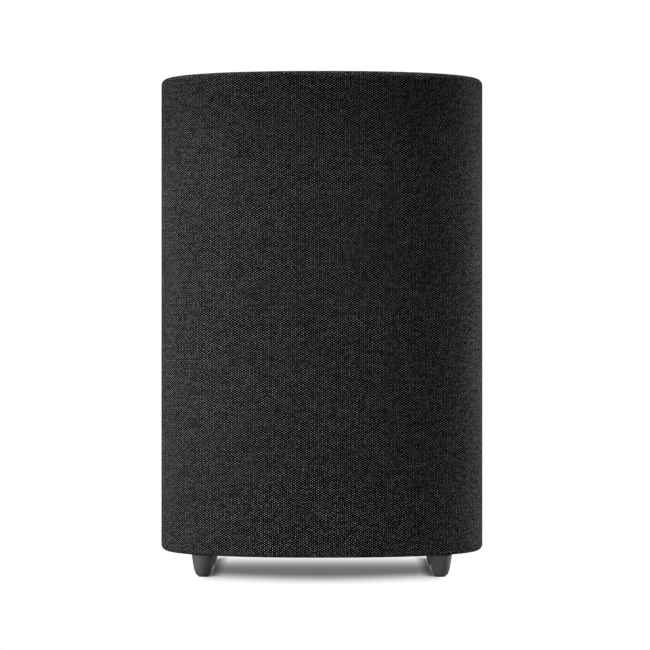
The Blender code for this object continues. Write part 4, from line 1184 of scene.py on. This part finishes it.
def felt():
    """The damping felt: flat against the wall and lumpy on its free side."""
    low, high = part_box("felt_lining")
    wall, rows = HALF_X - high.x, 24
    thick, lump, lump_size = mm(8, 1.5, 11)
    rings = [oval_ring(EVEN_ANGLES, wall, low.z), oval_ring(EVEN_ANGLES, wall, high.z)]
    for i in range(rows + 1):
        z = high.z + (low.z - high.z) * i / rows
        inset, rough = (wall + thick - lump, 0.3) if i in (0, rows) else (wall + thick, 1)
        points = oval_ring(EVEN_ANGLES, inset, z)
        bumps = [noise.noise(Vector(point) / lump_size) * lump * rough for point in points]
        rings.append(oval_ring(EVEN_ANGLES, inset + np.array(bumps), z))
    piece_for("felt_lining", "matted_felt", loft_mesh(rings, True))


def dress_cad_nodes():
    """Gives the CAD nodes their slots' finishes and rounds their corners."""
    for name, node in frame["nodes"].items():
        node.data.materials.clear()
        node.data.materials.append(FINISHES[SLOT_OF[name]])
    for radius, names in ROUNDED_NODES.items():
        for name in names:
            bevel = frame["nodes"][name].modifiers.new("Bevel", "BEVEL")
            bevel.width = radius * MM
            bevel.segments = 3
            bevel.limit_method = "ANGLE"
            bevel.angle_limit = SHARP_ANGLE
            bevel.harden_normals = True


# ---- stage


def soft_box(name, azimuth, distance, height, size, power, spread=180):
    """A rectangular lamp that faces the object from an azimuth."""
    light = bpy.data.lights.new(name, "AREA")
    light.shape = "RECTANGLE"
    light.size, light.size_y = size
    light.energy = power
    light.spread = radians(spread)
    obj = placed(name, light)
    turn = radians(azimuth)
    obj.location = (sin(turn) * distance, -cos(turn) * distance, height)
    target = Vector((0, 0, SLEEVE_HIGH.z / 2))
    obj.rotation_euler = (target - obj.location).to_track_quat("-Z", "Y").to_euler()


def stage():
    """A white floor and a surround that lights the object only faintly, and the soft boxes."""
    bm = bmesh.new()
    bmesh.ops.create_circle(bm, cap_ends=True, segments=64, radius=30)
    add_piece("floor", bm, floor_white())

    s = Shader("surround", bpy.data.worlds)
    bpy.context.scene.world = s.material
    background = s.tree.nodes["Background"]
    camera_ray = s.node("LightPath").outputs["Is Camera Ray"]
    s.feed(background.inputs["Strength"], s.ramp(camera_ray, 0, 1, SURROUND_CAST, SURROUND_SEEN))
    s.feed(background.inputs["Color"], (1, 1, 1))
    for box in SOFT_BOXES:
        soft_box(*box)
    bpy.context.scene.view_settings.view_transform = "Standard"


def camera():
    data = bpy.data.cameras.new("camera")
    data.sensor_width = SENSOR
    data.lens = LENS
    data.shift_x = VIEW_SHIFT
    obj = placed("camera", data)
    obj.location = (0, -HALF_Y - CAMERA_DISTANCE, CAMERA_Z)
    obj.rotation_euler = (radians(90), 0, 0)
    bpy.context.scene.camera = obj


# ---- build

dress_cad_nodes()
sleeve()
covers()
feet()
basket()
suspension()
cone()
vertical_screws()
braided_leads()
port()
bezel()
panel()
inlet()
button_and_lamp()
felt()
stage()
camera()
